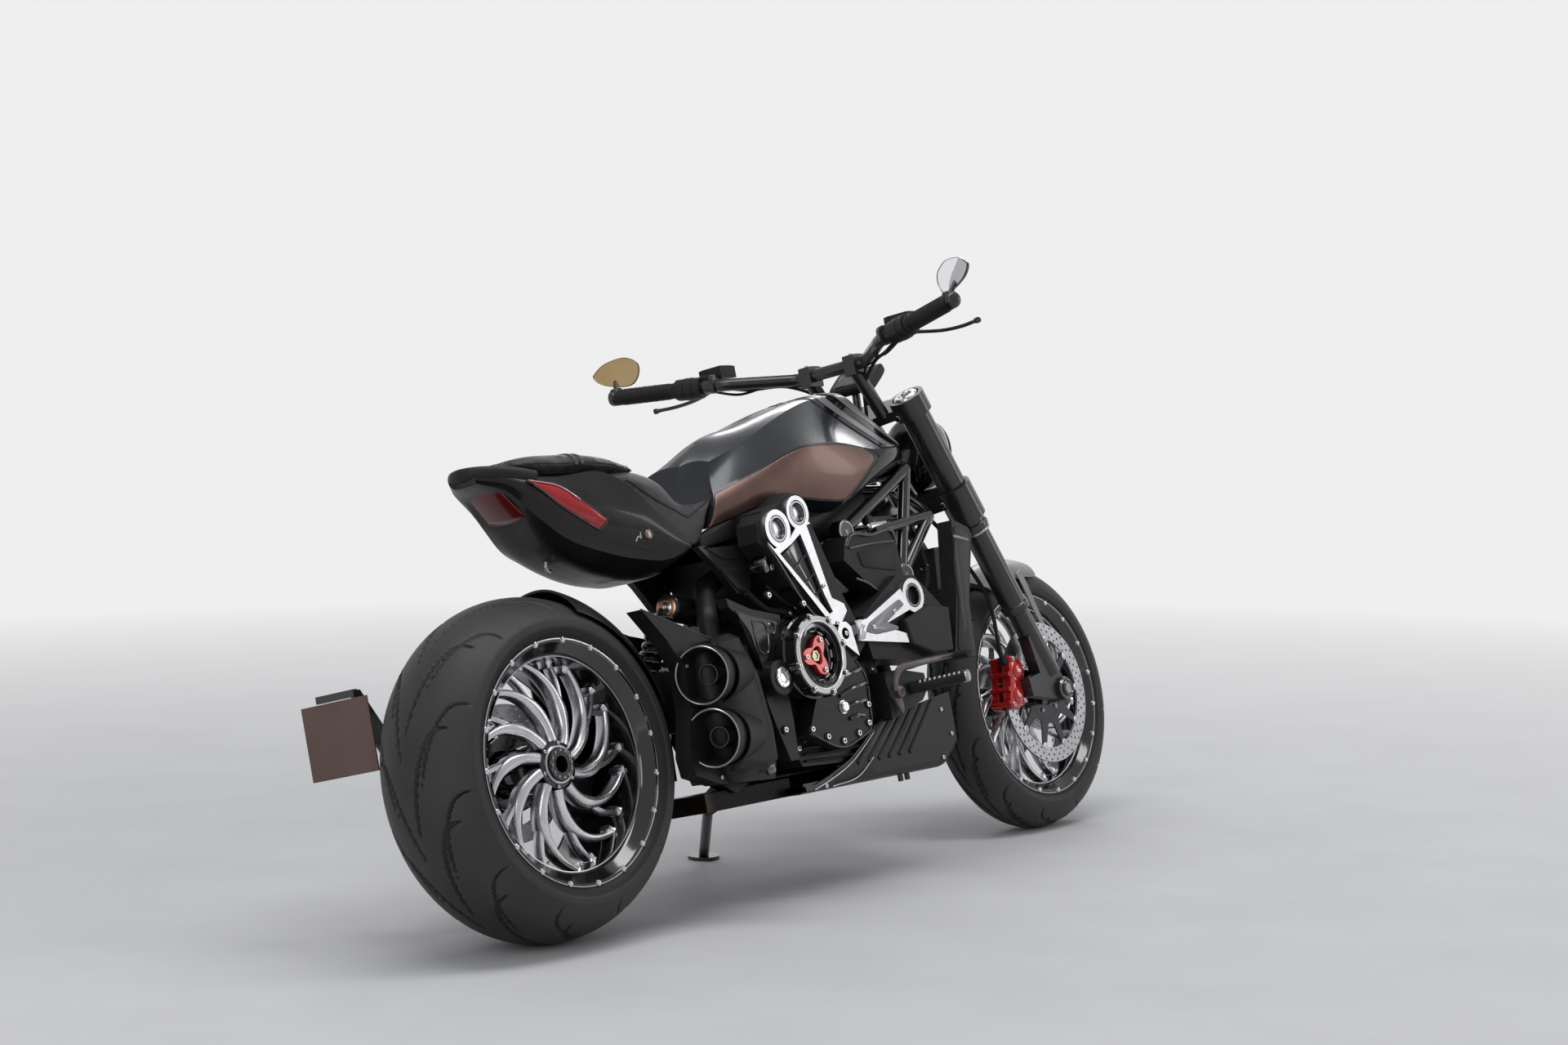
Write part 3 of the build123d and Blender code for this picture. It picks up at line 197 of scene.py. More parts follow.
# finish: base colour, second colour, metallic, roughness low and high, coat, grain kind, scale, bump, depth
finishes = {
    "satinFrame": (
        (0.01, 0.01, 0.011), (0.018, 0.018, 0.019), 0.0, 0.26, 0.36, 0.4, "noise", 260, 0.12, 0.0004),
    "noseBlack": (
        (0.002, 0.002, 0.002), (0.004, 0.004, 0.004), 0.0, 0.1, 0.15, 0.0, "noise", 90, 0.02, 0.0004),
    "glossBlack": (
        (0.004, 0.004, 0.0045), (0.007, 0.007, 0.0075), 0.0, 0.08, 0.16, 0.9, "noise", 90, 0.03, 0.0005),
    "castBlack": (
        (0.007, 0.007, 0.0075), (0.013, 0.013, 0.014), 0.0, 0.36, 0.48, 0.0, "noise", 1100, 0.28, 0.0004),
    "castGrey": (
        (0.028, 0.028, 0.03), (0.045, 0.045, 0.047), 0.4, 0.36, 0.5, 0.0, "noise", 1000, 0.25, 0.0004),
    "matteBody": (
        (0.011, 0.011, 0.012), (0.017, 0.017, 0.018), 0.0, 0.4, 0.5, 0.1, "noise", 500, 0.06, 0.0004),
    "grainPlastic": (
        (0.009, 0.009, 0.0095), (0.014, 0.014, 0.015), 0.0, 0.46, 0.58, 0.0, "cells", 900, 0.2, 0.0003),
    "exhaustBlack": (
        (0.008, 0.008, 0.008), (0.014, 0.0135, 0.013), 0.1, 0.4, 0.52, 0.0, "noise", 700, 0.1, 0.0004),
    "gripRubber": (
        (0.008, 0.008, 0.008), (0.014, 0.014, 0.014), 0.0, 0.58, 0.7, 0.0, "cells", 600, 0.4, 0.0006),
    "plainSteel": ((0.32, 0.32, 0.33), (0.42, 0.42, 0.43), 1.0, 0.28, 0.4, 0.0, "noise", 300, 0.08, 0.0003),
    "brightAlloy": ((0.62, 0.62, 0.64), (0.78, 0.78, 0.8), 1.0, 0.2, 0.32, 0.0, "noise", 240, 0.08, 0.0003),
    "redAnodised": (
        (0.42, 0.012, 0.012), (0.6, 0.025, 0.02), 0.35, 0.24, 0.34, 0.5, "noise", 500, 0.08, 0.0003),
    "boltSteel": ((0.45, 0.45, 0.46), (0.6, 0.6, 0.62), 1.0, 0.22, 0.34, 0.0, "noise", 500, 0.06, 0.0003),
    "mirrorGlass": ((0.82, 0.82, 0.84), (0.88, 0.88, 0.9), 1.0, 0.015, 0.03, 0.0, "noise", 8, 0.0, 0.0001),
    # gold-tinted glass of the left mirror: a painted reflection
    "goldMirror": ((0.72, 0.5, 0.24), (0.78, 0.56, 0.3), 1.0, 0.03, 0.06, 0.0, "noise", 8, 0.0, 0.0001),
    "screenBlack": (
        (0.01, 0.01, 0.012), (0.014, 0.014, 0.016), 0.0, 0.08, 0.12, 0.9, "noise", 60, 0.01, 0.0002),
    "plateBrown": (
        (0.1, 0.055, 0.045), (0.125, 0.07, 0.056), 0.0, 0.3, 0.38, 0.3, "noise", 200, 0.03, 0.0003),
    "tailPaint": (
        (0.01, 0.009, 0.009), (0.018, 0.014, 0.013), 0.4, 0.3, 0.36, 0.25, "cells", 2200, 0.04, 0.0002),
    "redLens": ((0.28, 0.003, 0.005), (0.4, 0.008, 0.01), 0.0, 0.1, 0.16, 0.3, "cells", 240, 0.12, 0.0006),
    "darkLens": ((0.07, 0.002, 0.003), (0.11, 0.003, 0.004), 0.0, 0.1, 0.16, 0.2, "cells", 180, 0.1, 0.0006),
    "lampBrow": ((0.72, 0.4, 0.42), (0.8, 0.5, 0.52), 0.1, 0.1, 0.2, 0.8, "noise", 200, 0.02, 0.0003),
    "seatPiping": (
        (0.008, 0.008, 0.009), (0.014, 0.014, 0.015), 0.0, 0.5, 0.62, 0.0, "cells", 900, 0.2, 0.0003),
    "threadGrey": (
        (0.035, 0.035, 0.037), (0.055, 0.055, 0.058), 0.0, 0.6, 0.75, 0.0, "noise", 2600, 0.4, 0.0003),
    "brassTone": ((0.36, 0.34, 0.22), (0.5, 0.48, 0.34), 1.0, 0.24, 0.36, 0.0, "noise", 500, 0.06, 0.0003),
    "copperBright": ((0.5, 0.26, 0.17), (0.62, 0.34, 0.24), 1.0, 0.2, 0.32, 0.0, "noise", 300, 0.05, 0.0003),
    "rimDark": ((0.14, 0.14, 0.145), (0.2, 0.2, 0.205), 0.9, 0.2, 0.3, 0.2, "noise", 300, 0.05, 0.0003),
    "caliperRed": (
        (0.42, 0.006, 0.006), (0.55, 0.012, 0.01), 0.25, 0.12, 0.2, 0.9, "noise", 300, 0.04, 0.0003),
    "copperPaint": (
        (0.15, 0.088, 0.074), (0.185, 0.11, 0.092), 0.75, 0.3, 0.38, 0.2, "cells", 2200, 0.04, 0.0002),
    "bandGrey": ((0.17, 0.17, 0.18), (0.21, 0.21, 0.22), 0.4, 0.32, 0.42, 0.2, "cells", 2200, 0.03, 0.0002),
    "fenderSilver": ((0.2, 0.2, 0.2), (0.25, 0.25, 0.25), 0.6, 0.34, 0.44, 0.2, "noise", 500, 0.03, 0.0003),
    "pedalBronze": (
        (0.1, 0.086, 0.082), (0.13, 0.112, 0.106), 0.6, 0.32, 0.42, 0.1, "noise", 400, 0.05, 0.0003),
    "blackChrome": (
        (0.12, 0.12, 0.125), (0.16, 0.16, 0.165), 1.0, 0.12, 0.22, 0.3, "noise", 200, 0.04, 0.0003),
}


def makeFinish(name):
    # base colour drifts between two tones by slow noise, roughness by finer noise, grain goes to bump
    first, second, metallic, low, high, coat, kind, scale, strength, depth = finishes[name]
    shine = 0.5 if low < 0.3 else 0.3
    shade = Shade(name, Metallic=metallic, Coat_Weight=coat, Coat_Roughness=0.08, Specular_IOR_Level=shine)
    drift = shade.noise(14, 4)
    fine = shade.noise(120, 5)
    shade.feed("Base Color", shade.blend(shade.spread(drift, 0.0, 1.0), first, second))
    shade.feed("Roughness", shade.spread(fine * 0.5 + drift * 0.5, low, high))
    if strength:
        grain = shade.noise(scale, 3) if kind == "noise" else shade.cells(scale)
        shade.feed("Normal", shade.bump(grain, strength, depth))
    return shade.material


made = {name: makeFinish(name) for name in finishes}


def machinedAlloy():
    # fine lines along the machine's length, broken by noise, over bright metal
    shade = Shade("machinedAlloy", Metallic=1.0)
    x, y, z = shade.parts(shade.bikePlace())
    stretched = shade.node("ShaderNodeCombineXYZ", links={"X": x * 60, "Y": y * 60, "Z": z * 1400})
    lines = shade.noise(1.0, 2, vector=stretched)
    drift = shade.noise(30, 3)
    shade.feed("Base Color", shade.blend(shade.spread(drift, 0, 1), (0.44, 0.44, 0.45), (0.52, 0.52, 0.53)))
    shade.feed("Roughness", shade.spread(lines, 0.26, 0.32))
    shade.feed("Normal", shade.bump(lines, 0.02, 0.0002))
    return shade.material


def turnedSteel(name, axle, first, second, rings):
    # rings round an axle: the noise reads the distance from it only
    shade = Shade(name, Metallic=1.0)
    x, y, z = shade.parts(shade.bikePlace((axle[0], 0.0, axle[1])))
    radius = (x * x + z * z).maths("SQRT")
    lines = shade.noise(1.0, 2, vector=shade.node("ShaderNodeCombineXYZ", links={"X": radius * rings}))
    drift = shade.noise(25, 3)
    shade.feed("Base Color", shade.blend(shade.spread(drift, 0, 1), first, second))
    shade.feed("Roughness", shade.spread(lines, 0.2, 0.36))
    shade.feed("Normal", shade.bump(lines, 0.12, 0.0003))
    return shade.material


def tyreRubber(name, axle, treadWidth, reach, crown):
    # rings on the wall; the tread's surface is reach - crown + sqrt(crown^2 - y^2), and below it, in the
    # grooves, the colour is darkened as painted shade
    shade = Shade(name)
    x, y, z = shade.parts(shade.bikePlace((axle[0], 0.0, axle[1])))
    radius = (x * x + z * z).maths("SQRT")
    rings = (radius * 2600.0).sine()
    wall = y.size() > treadWidth
    grain = shade.noise(500, 4)
    drift = shade.noise(9, 4)
    surface = (crown * crown - y * y).maths("SQRT") + (reach - crown)
    # painted shade: inside the grooves the rubber's colour is darkened to near black
    groove = (surface - radius > 0.0014) * (1.0 - wall)
    tone = shade.blend(shade.spread(drift, 0, 1), (0.02, 0.0195, 0.019), (0.032, 0.031, 0.03))
    shade.feed("Base Color", shade.blend(groove, tone, (0.0025, 0.0025, 0.0025)))
    shade.feed("Roughness", shade.spread(grain, 0.52, 0.66) + wall * 0.05)
    shade.feed("Normal", shade.bump(grain * 0.5 + rings * wall * 0.25, 0.25, 0.0006))
    return shade.material


def heatBrown():
    # steel that the heat has browned, bluer in patches
    shade = Shade("heatBrown", Metallic=1.0)
    patches = shade.noise(9, 5, 0.65)
    fine = shade.noise(140, 4)
    stops = [
        (0.3, (0.07, 0.052, 0.04)), (0.5, (0.12, 0.085, 0.058)), (0.62, (0.1, 0.08, 0.07)),
        (0.75, (0.15, 0.11, 0.07))]
    ramp = shade.node("ShaderNodeValToRGB", {"stops": stops}, {"Fac": patches})
    x, y, z = shade.parts(shade.bikePlace())
    shade.feed("Base Color", shade.blend(shade.spread(x, 0.0, 1.0, 0.3, 0.36), ramp, (0.012, 0.012, 0.012)))
    shade.feed("Roughness", shade.spread(fine, 0.3, 0.48))
    shade.feed("Normal", shade.bump(fine, 0.12, 0.0004))
    return shade.material


def seatLeather():
    # cell grain with soft creases; the colour is darker in the creases and lighter on the high spots, painted
    # shade and painted highlight
    shade = Shade("seatLeather", Sheen_Weight=0.15, Sheen_Roughness=0.4)
    grain = shade.cells(520, "DISTANCE_TO_EDGE")
    crease = shade.noise(36, 5, 0.6)
    # painted shade and painted highlight: the crease noise that makes the bump also darkens the creases and
    # lightens the high spots
    shade.feed(
        "Base Color", shade.blend(shade.spread(crease, 0, 1), (0.014, 0.014, 0.015), (0.026, 0.026, 0.027)))
    shade.feed("Roughness", shade.spread(crease, 0.42, 0.58))
    shade.feed("Normal", shade.bump((grain * 8).clamped() * 0.6 + crease * 0.4, 0.3, 0.0006))
    return shade.material


def smokedLens():
    # dark red lens with upright reeds under the surface
    shade = Shade("smokedLens", Coat_Weight=0.3, Coat_Roughness=0.04, Roughness=0.12)
    x, y, z = shade.parts(shade.bikePlace())
    reeds = (x * 1100.0 + z * 500.0).sine()
    deep = shade.noise(40, 3)
    shade.feed(
        "Base Color",
        shade.blend((reeds * 0.25 + deep).clamped(), (0.06, 0.002, 0.003), (0.14, 0.004, 0.005)))
    shade.feed("Normal", shade.bump(reeds, 0.15, 0.0004))
    return shade.material


def clearLens():
    # a faceted reflector behind clear glass
    shade = Shade("clearLens", Metallic=0.8, Coat_Weight=1.0, Roughness=0.1)
    facets = shade.cells(60)
    shade.feed("Base Color", shade.blend((facets * 14).clamped(), (0.2, 0.21, 0.23), (0.55, 0.57, 0.6)))
    shade.feed("Normal", shade.bump(facets, 0.2, 0.001))
    return shade.material


def beltRubber():
    # cross ribs of a toothed belt
    shade = Shade("beltRubber")
    x, y, z = shade.parts(shade.bikePlace())
    ribs = (x * 785.0).sine()
    grain = shade.noise(700, 3)
    shade.feed(
        "Base Color", shade.blend(shade.spread(grain, 0, 1), (0.014, 0.014, 0.014), (0.024, 0.024, 0.024)))
    shade.feed("Roughness", shade.spread(grain, 0.55, 0.7))
    shade.feed("Normal", shade.bump(ribs * 0.8 + grain * 0.2, 0.5, 0.001))
    return shade.material


def coreFins():
    # close upright fins of a radiator core, the colour darkened in the gaps between fins and between tubes as
    # painted shade
    shade = Shade("coreFins", Metallic=0.5)
    x, y, z = shade.parts(shade.bikePlace())
    fins = (y * 2400.0).sine()
    tubes = (z * 620.0).sine()
    # painted shade: the fin and tube sines darken the colour in the gaps between them
    shade.feed(
        "Base Color",
        shade.blend((fins * 0.5 + 0.5) * (tubes * 0.3 + 0.7), (0.01, 0.01, 0.01), (0.05, 0.05, 0.052)))
    shade.feed("Roughness", shade.spread(shade.noise(200), 0.4, 0.55))
    shade.feed("Normal", shade.bump(fins, 0.4, 0.001))
    return shade.material


def tankPaint():
    # satin grey with fine flakes in it
    shade = Shade("tankPaint", Metallic=0.5, Coat_Weight=0.3, Coat_Roughness=0.12)
    flakes = shade.cells(2200)
    drift = shade.noise(7, 3)
    shade.feed(
        "Base Color", shade.blend(shade.spread(drift, 0, 1), (0.018, 0.02, 0.024), (0.027, 0.03, 0.036)))
    shade.feed("Roughness", shade.spread(flakes, 0.22, 0.3, 0.0, 1.0))
    shade.feed("Normal", shade.bump(flakes, 0.03, 0.0002))
    return shade.material


def polishedBlade():
    # bright metal with brush lines turned by slow noise; the slow noise also darkens the colour in patches,
    # painted shade standing for hollows
    shade = Shade("polishedBlade", Metallic=1.0, Anisotropic=0.4)
    drift = shade.noise(22, 3)
    fine = shade.noise(420, 3)
    # painted shade: the slow noise darkens the base colour where hollows are meant
    shade.feed("Base Color", shade.blend(shade.spread(drift, 0, 1), (0.62, 0.62, 0.64), (0.8, 0.8, 0.82)))
    shade.feed("Roughness", shade.spread(fine * 0.4 + drift * 0.6, 0.2, 0.32))
    shade.feed("Normal", shade.bump(fine, 0.06, 0.0003))
    return shade.material


# finishes of one kind each, then tyres and discs, whose marks run round their own axle
plainOnes = (
    machinedAlloy, heatBrown, seatLeather, smokedLens, clearLens, beltRubber, coreFins, tankPaint,
    polishedBlade)
made.update({make.__name__: make() for make in plainOnes})
for name, axle, treadWidth, reach, crown in (
    ("rearTyreRubber", "rearAxle", 0.119, 0.324, 0.152),
    ("frontTyreRubber", "frontAxle", 0.0595, 0.3, 0.064),
):
    made[name] = tyreRubber(name, stance[axle], treadWidth, reach, crown)
for name, axle, first, second in (
    ("frontDiscSteel", "frontAxle", (0.5, 0.5, 0.51), (0.62, 0.62, 0.63)),
    ("rearDiscSteel", "rearAxle", (0.4, 0.4, 0.41), (0.56, 0.56, 0.57)),
):
    made[name] = turnedSteel(name, stance[axle], first, second, 1500)
nodeFinish = {
    "glossBlack": "trellis_frame front_rim rear_rim rear_axle",
    "castBlack": "engine_block clutch_cover alternator_cover pivot_plates swingarm shock_absorber"
    " rear_caliper",
    "castGrey": "rear_pulley",
    "matteBody": "tail_cowl side_covers rear_hugger radiator_shrouds belly_pan",
    "satinFrame": "plate_holder foot_pedals triple_clamps fork_outer_tubes fork_lowers handlebar"
    " control_levers mirrors side_stand",
    "grainPlastic": "belt_housings footpegs intake_covers switchgear",
    "exhaustBlack": "muffler header_pipes",
    "redAnodised": "clutch_plate front_calipers",
    "machinedAlloy": "belt_covers",
    "tankPaint": "fuel_tank",
    "seatLeather": "rider_seat passenger_seat",
    "smokedLens": "tail_lamps",
    "plateBrown": "licence_plate",
    "heatBrown": "collector_box",
    "coreFins": "radiator",
    "beltRubber": "drive_belt",
    "plainSteel": "front_axle",
    "fenderSilver": "front_fender",
    "gripRubber": "hand_grips",
    "clearLens": "headlight",
    "screenBlack": "instrument",
    "frontTyreRubber": "front_tyre",
    "frontDiscSteel": "front_discs",
    "rearTyreRubber": "rear_tyre",
    "rearDiscSteel": "rear_disc",
}
for finishName, nodeNames in nodeFinish.items():
    for nodeName in nodeNames.split():
        slots = nodes[nodeName].data.materials
        slots.clear()
        slots.append(made[finishName])
print("finishes made:", len(made))


# Shapes. Each is worked out as whole arrays in upright mm and returned as (points, list of face arrays).
flip = np.array([1.0, -1.0, 1.0])
leftward = np.array([0.0, 1.0, 0.0])


def through(table, at):
    # cubic Hermite curve through the rows of a table, its first column the parameter; central slopes
    table = np.asarray(table, float)
    knots, values = table[:, 0], table[:, 1:]
    slopes = np.gradient(values, knots, axis=0)
    at = np.clip(np.asarray(at, float), knots[0], knots[-1])
    k = np.clip(np.searchsorted(knots, at, side="right") - 1, 0, len(knots) - 2)
    width = knots[k + 1] - knots[k]
    t = ((at - knots[k]) / width)[..., None]
    w = width[..., None]
    return (
        values[k] * (1 + 2 * t) * (1 - t) ** 2 + values[k + 1] * t**2 * (3 - 2 * t)
        + slopes[k] * w * t * (1 - t) ** 2 - slopes[k + 1] * w * t**2 * (1 - t)
    )


def curve(points, count):
    # the Hermite curve through points, taken at equal steps of their chord length
    points = np.asarray(points, float)
    chord = np.concatenate([[0], np.cumsum(np.linalg.norm(np.diff(points, axis=0), axis=1))])
    return through(np.column_stack([chord, points]), np.linspace(0, chord[-1], count))


def gridShape(rows, closed=False, caps=False):
    # quads between neighbours of an (n, m, 3) array; closed joins last column to first, caps close the ends
    rows = np.asarray(rows, float)
    n, m = rows.shape[:2]
    index = np.arange(n * m).reshape(n, m)
    a = index if closed else index[:, :-1]
    b = np.roll(index, -1, axis=1) if closed else index[:, 1:]
    faces = [np.stack([a[:-1], a[1:], b[1:], b[:-1]], axis=-1).reshape(-1, 4)]
    points = rows.reshape(-1, 3)
    if caps:
        points = np.concatenate([points, rows[:1].mean(axis=1), rows[-1:].mean(axis=1)])
        first = np.stack([a[0], b[0], np.full(a.shape[1], n * m)], axis=-1)
        last = np.stack([b[-1], a[-1], np.full(a.shape[1], n * m + 1)], axis=-1)
        faces.append(np.concatenate([first, last]))
    return points, faces


def sweepShape(path, wide, deep, sides=12, up=(0, 0, 1), power=1.0):
    # a ring carried along a path: path + cos a * wide * side + sin a * deep * over, side = up x tangent
    path = np.asarray(path, float)
    tangent = np.gradient(path, axis=0)
    tangent /= np.linalg.norm(tangent, axis=1, keepdims=True)
    side = np.cross(np.asarray(up, float), tangent)
    side /= np.linalg.norm(side, axis=1, keepdims=True)
    over = np.cross(tangent, side)
    a = np.linspace(0, 2 * np.pi, sides, endpoint=False)
    c = np.sign(np.cos(a)) * np.abs(np.cos(a)) ** power
    s = np.sign(np.sin(a)) * np.abs(np.sin(a)) ** power
    wide = np.broadcast_to(wide, len(path))[:, None, None]
    deep = np.broadcast_to(deep, len(path))[:, None, None]
    rows = path[:, None] + c[None, :, None] * wide * side[:, None] + s[None, :, None] * deep * over[:, None]
    return gridShape(rows, closed=True, caps=True)


def tubeShape(points, radius, count, sides):
    # a round tube on the smooth curve through points
    return sweepShape(curve(points, count), radius, radius, sides)


def turnShape(profile, centre, axis=(0, 1, 0), segments=48, looped=False):
    # a profile of (radius, distance along the axis) turned about an axis through centre
    profile = np.asarray(profile, float)
    axis = np.asarray(axis, float) / np.linalg.norm(axis)
    first = np.cross(axis, (0, 0, 1)) if abs(axis[2]) < 0.9 else np.cross(axis, (1, 0, 0))
    first /= np.linalg.norm(first)
    second = np.cross(axis, first)
    turn = np.radians(np.linspace(0, 360, segments, endpoint=False))
    spoke = np.cos(turn)[:, None] * first + np.sin(turn)[:, None] * second
    rows = np.asarray(centre, float) + profile[None, :, 1:2] * axis + profile[None, :, 0:1] * spoke[:, None]
    rows = rows.transpose(1, 0, 2)
    if looped:
        rows = np.concatenate([rows, rows[:1]])
    return gridShape(rows, closed=True)


def roundCorners(outline, radius, steps):
    # each corner of a closed outline gives way to a quadratic bend between points at most radius from it
    outline = np.asarray(outline, float)
    before, after = np.roll(outline, 1, axis=0) - outline, np.roll(outline, -1, axis=0) - outline
    lengthB = np.linalg.norm(before, axis=1, keepdims=True)
    lengthA = np.linalg.norm(after, axis=1, keepdims=True)
    start = outline + before / lengthB * np.minimum(radius, lengthB * 0.45)
    end = outline + after / lengthA * np.minimum(radius, lengthA * 0.45)
    t = np.linspace(0, 1, steps + 1)[None, :, None]
    bent = start[:, None] * (1 - t) ** 2 + outline[:, None] * 2 * t * (1 - t) + end[:, None] * t**2
    return bent.reshape(-1, 2)


def plateShape(outline, yOut, yIn, bevel, corner):
    # an outline in x and z drawn from yIn to yOut, its corners rounded and its outer rim bevelled inward
    outline = roundCorners(outline, corner, 3)
    edge = np.roll(outline, -1, axis=0) - np.roll(outline, 1, axis=0)
    normal = np.stack([edge[:, 1], -edge[:, 0]], axis=1)
    normal /= np.linalg.norm(normal, axis=1, keepdims=True) + 1e-9
    area = np.sum(outline[:, 0] * np.roll(outline[:, 1], -1) - np.roll(outline[:, 0], -1) * outline[:, 1])
    inward = -normal * np.sign(area)
    way = np.sign(yIn - yOut)
    rings = []
    for inset, y in (
        (0.0, yIn), (0.0, yOut + way * bevel), (bevel * 0.3, yOut + way * bevel * 0.3), (bevel, yOut),
    ):
        flat = outline + inward * inset
        rings.append(np.stack([flat[:, 0], np.full(len(flat), y), flat[:, 1]], axis=1))
    points, faces = gridShape(np.array(rings), closed=True)
    m = len(outline)
    faces.append(np.array([list(range(m))[::-1]]))
    faces.append(np.array([list(range(3 * m, 4 * m))]))
    return points, faces


def repeated(shape, places):
    # copies of a shape, one moved to each place
    points, faces = shape
    places = np.asarray(places, float)
    moved = (points[None] + places[:, None]).reshape(-1, 3)
    steps = np.arange(len(places)) * len(points)
    return moved, [(f[None] + steps[:, None, None]).reshape(-1, f.shape[1]) for f in faces]


def boltShape(radius, height, axis=(0, -1, 0)):
    # a socket screw head that points along an axis: shares of its radius and height, turned
    shares = np.array([(0, 0), (1, 0), (1, 0.8), (0.86, 1), (0.5, 1), (0.45, 0.4), (0, 0.4)])
    return turnShape(shares * (radius, height), (0, 0, 0), axis, 12)


def mirrored(shape):
    # the same shape on the other side of the machine
    points, faces = shape
    return points * flip, faces


def together(shapes):
    # several shapes as one
    points, faces, start = [], [], 0
    for p, f in shapes:
        points.append(p)
        faces += [part + start for part in f]
        start += len(p)
    return np.concatenate(points), faces


def putPiece(name, shapes, finish, body="chassis", replaces=(), sharp=32, thickness=0.0, both=False):
    # one mesh object of the shapes, on both sides if asked, faces turned outward, riding on a body
    shapes = shapes if isinstance(shapes, list) else [shapes]
    points, faces = together(shapes + [mirrored(shape) for shape in shapes] if both else shapes)
    mesh = bpy.data.meshes.new(name)
    mesh.from_pydata(toWorld(points).tolist(), [], [face for part in faces for face in part.tolist()])
    work = bmesh.new()
    work.from_mesh(mesh)
    bmesh.ops.remove_doubles(work, verts=work.verts, dist=2e-5)
    bmesh.ops.recalc_face_normals(work, faces=work.faces)
    work.to_mesh(mesh)
    work.free()
    mesh.polygons.foreach_set("use_smooth", np.ones(len(mesh.polygons), bool))
    mesh.set_sharp_from_angle(angle=np.radians(sharp))
    mesh.materials.append(made[finish])
    piece = bpy.data.objects.new(name, mesh)
    bpy.context.scene.collection.objects.link(piece)
    if thickness:
        shell = piece.modifiers.new("wall", "SOLIDIFY")
        shell.thickness = thickness
        shell.offset = -1
    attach(piece, body)
    if replaces:
        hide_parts(*replaces)
    return piece


# Front end: x of the steering axis at the ground and of the fork legs at the axle, their spread and rake.
front = {"rake": np.tan(np.radians(28.6)), "axis": 1745.0, "leg": 1615.0, "axle": 301.74, "spread": 112.0}


def axisX(z):
    # x of the steering axis at a height
    return front["axis"] - z * front["rake"]


def legX(z):
    # x of the fork legs at a height
    return front["leg"] - (z - front["axle"]) * front["rake"]


# Tank: five lines from the seat forward, as x, half width and height.
tank = {
    "middle": [
        (574, 0, 880), (632, 0, 926), (759, 0, 958), (957, 0, 1001), (1086, 0, 1017), (1180, 0, 1010),
        (1214, 0, 996)],
    "ridge": [
        (570, 84, 875), (659, 87, 902), (780, 84, 947), (860, 78, 974), (960, 66, 997), (1100, 56, 1001),
        (1206, 46, 982)],
    "crease": [
        (541, 104, 806), (641, 130, 838), (803, 162, 887), (890, 166, 887), (1000, 163, 872),
        (1110, 150, 872), (1206, 108, 892)],
    "low": [
        (509, 99, 738), (582, 116, 755), (734, 138, 781), (843, 146, 769), (905, 149, 766), (1010, 152, 806),
        (1178, 112, 838)],
    "tuck": [
        (520, 60, 742), (600, 70, 748), (734, 96, 760), (843, 106, 752), (905, 108, 750), (1010, 106, 785),
        (1168, 70, 834)],
    "rows": 96,
    "bulges": (6.0, -2.5, 9.0, 0.0),
    "headGap": 80, "soft": 14,
}
tankLines = [curve(tank[key], tank["rows"]) for key in ("middle", "ridge", "crease", "low", "tuck")]


def tankSkin(u, v, lift=0.0):
    # u runs 0-1 forward, v 0-4 from top line to tuck: a chord between two lines plus a bulge 4 t (1 - t)
    u, v = np.broadcast_arrays(np.asarray(u, float), np.asarray(v, float))
    band = np.clip(v.astype(int), 0, 3)
    t = (v - band)[..., None]
    steps = np.linspace(0, 1, tank["rows"])
    lines = np.stack([
        np.stack([np.interp(u, steps, line[:, k]) for k in range(3)], axis=-1) for line in tankLines])
    lower = np.take_along_axis(lines, band[None, ..., None], axis=0)[0]
    upper = np.take_along_axis(lines, band[None, ..., None] + 1, axis=0)[0]
    run = upper - lower
    out = np.stack([np.zeros_like(run[..., 0]), -run[..., 2], run[..., 1]], axis=-1)
    out /= np.linalg.norm(out, axis=-1, keepdims=True) + 1e-9
    bulge = np.array(tank["bulges"])[band][..., None]
    place = lower * (1 - t) + upper * t + out * (4 * t * (1 - t) * bulge + lift)
    # the turned forks need the gap behind the steering axis: x = limit - k log(1 + e^((limit - x) / k))
    limit = axisX(place[..., 2]) - tank["headGap"] * np.hypot(1, front["rake"]) + lift
    place[..., 0] = limit - tank["soft"] * np.logaddexp(0, (limit - place[..., 0]) / tank["soft"])
    return place


def tankPanel(vEdges, uLow, uHigh, lift, columns=48):
    # a part of the skin lifted off it: at each v, u runs from uLow(v) to uHigh(v)
    v = np.linspace(*vEdges, 40)
    w = np.linspace(0, 1, columns)
    u = uLow(v)[:, None] * (1 - w) + uHigh(v)[:, None] * w
    return gridShape(tankSkin(u, np.broadcast_to(v[:, None], u.shape), lift))


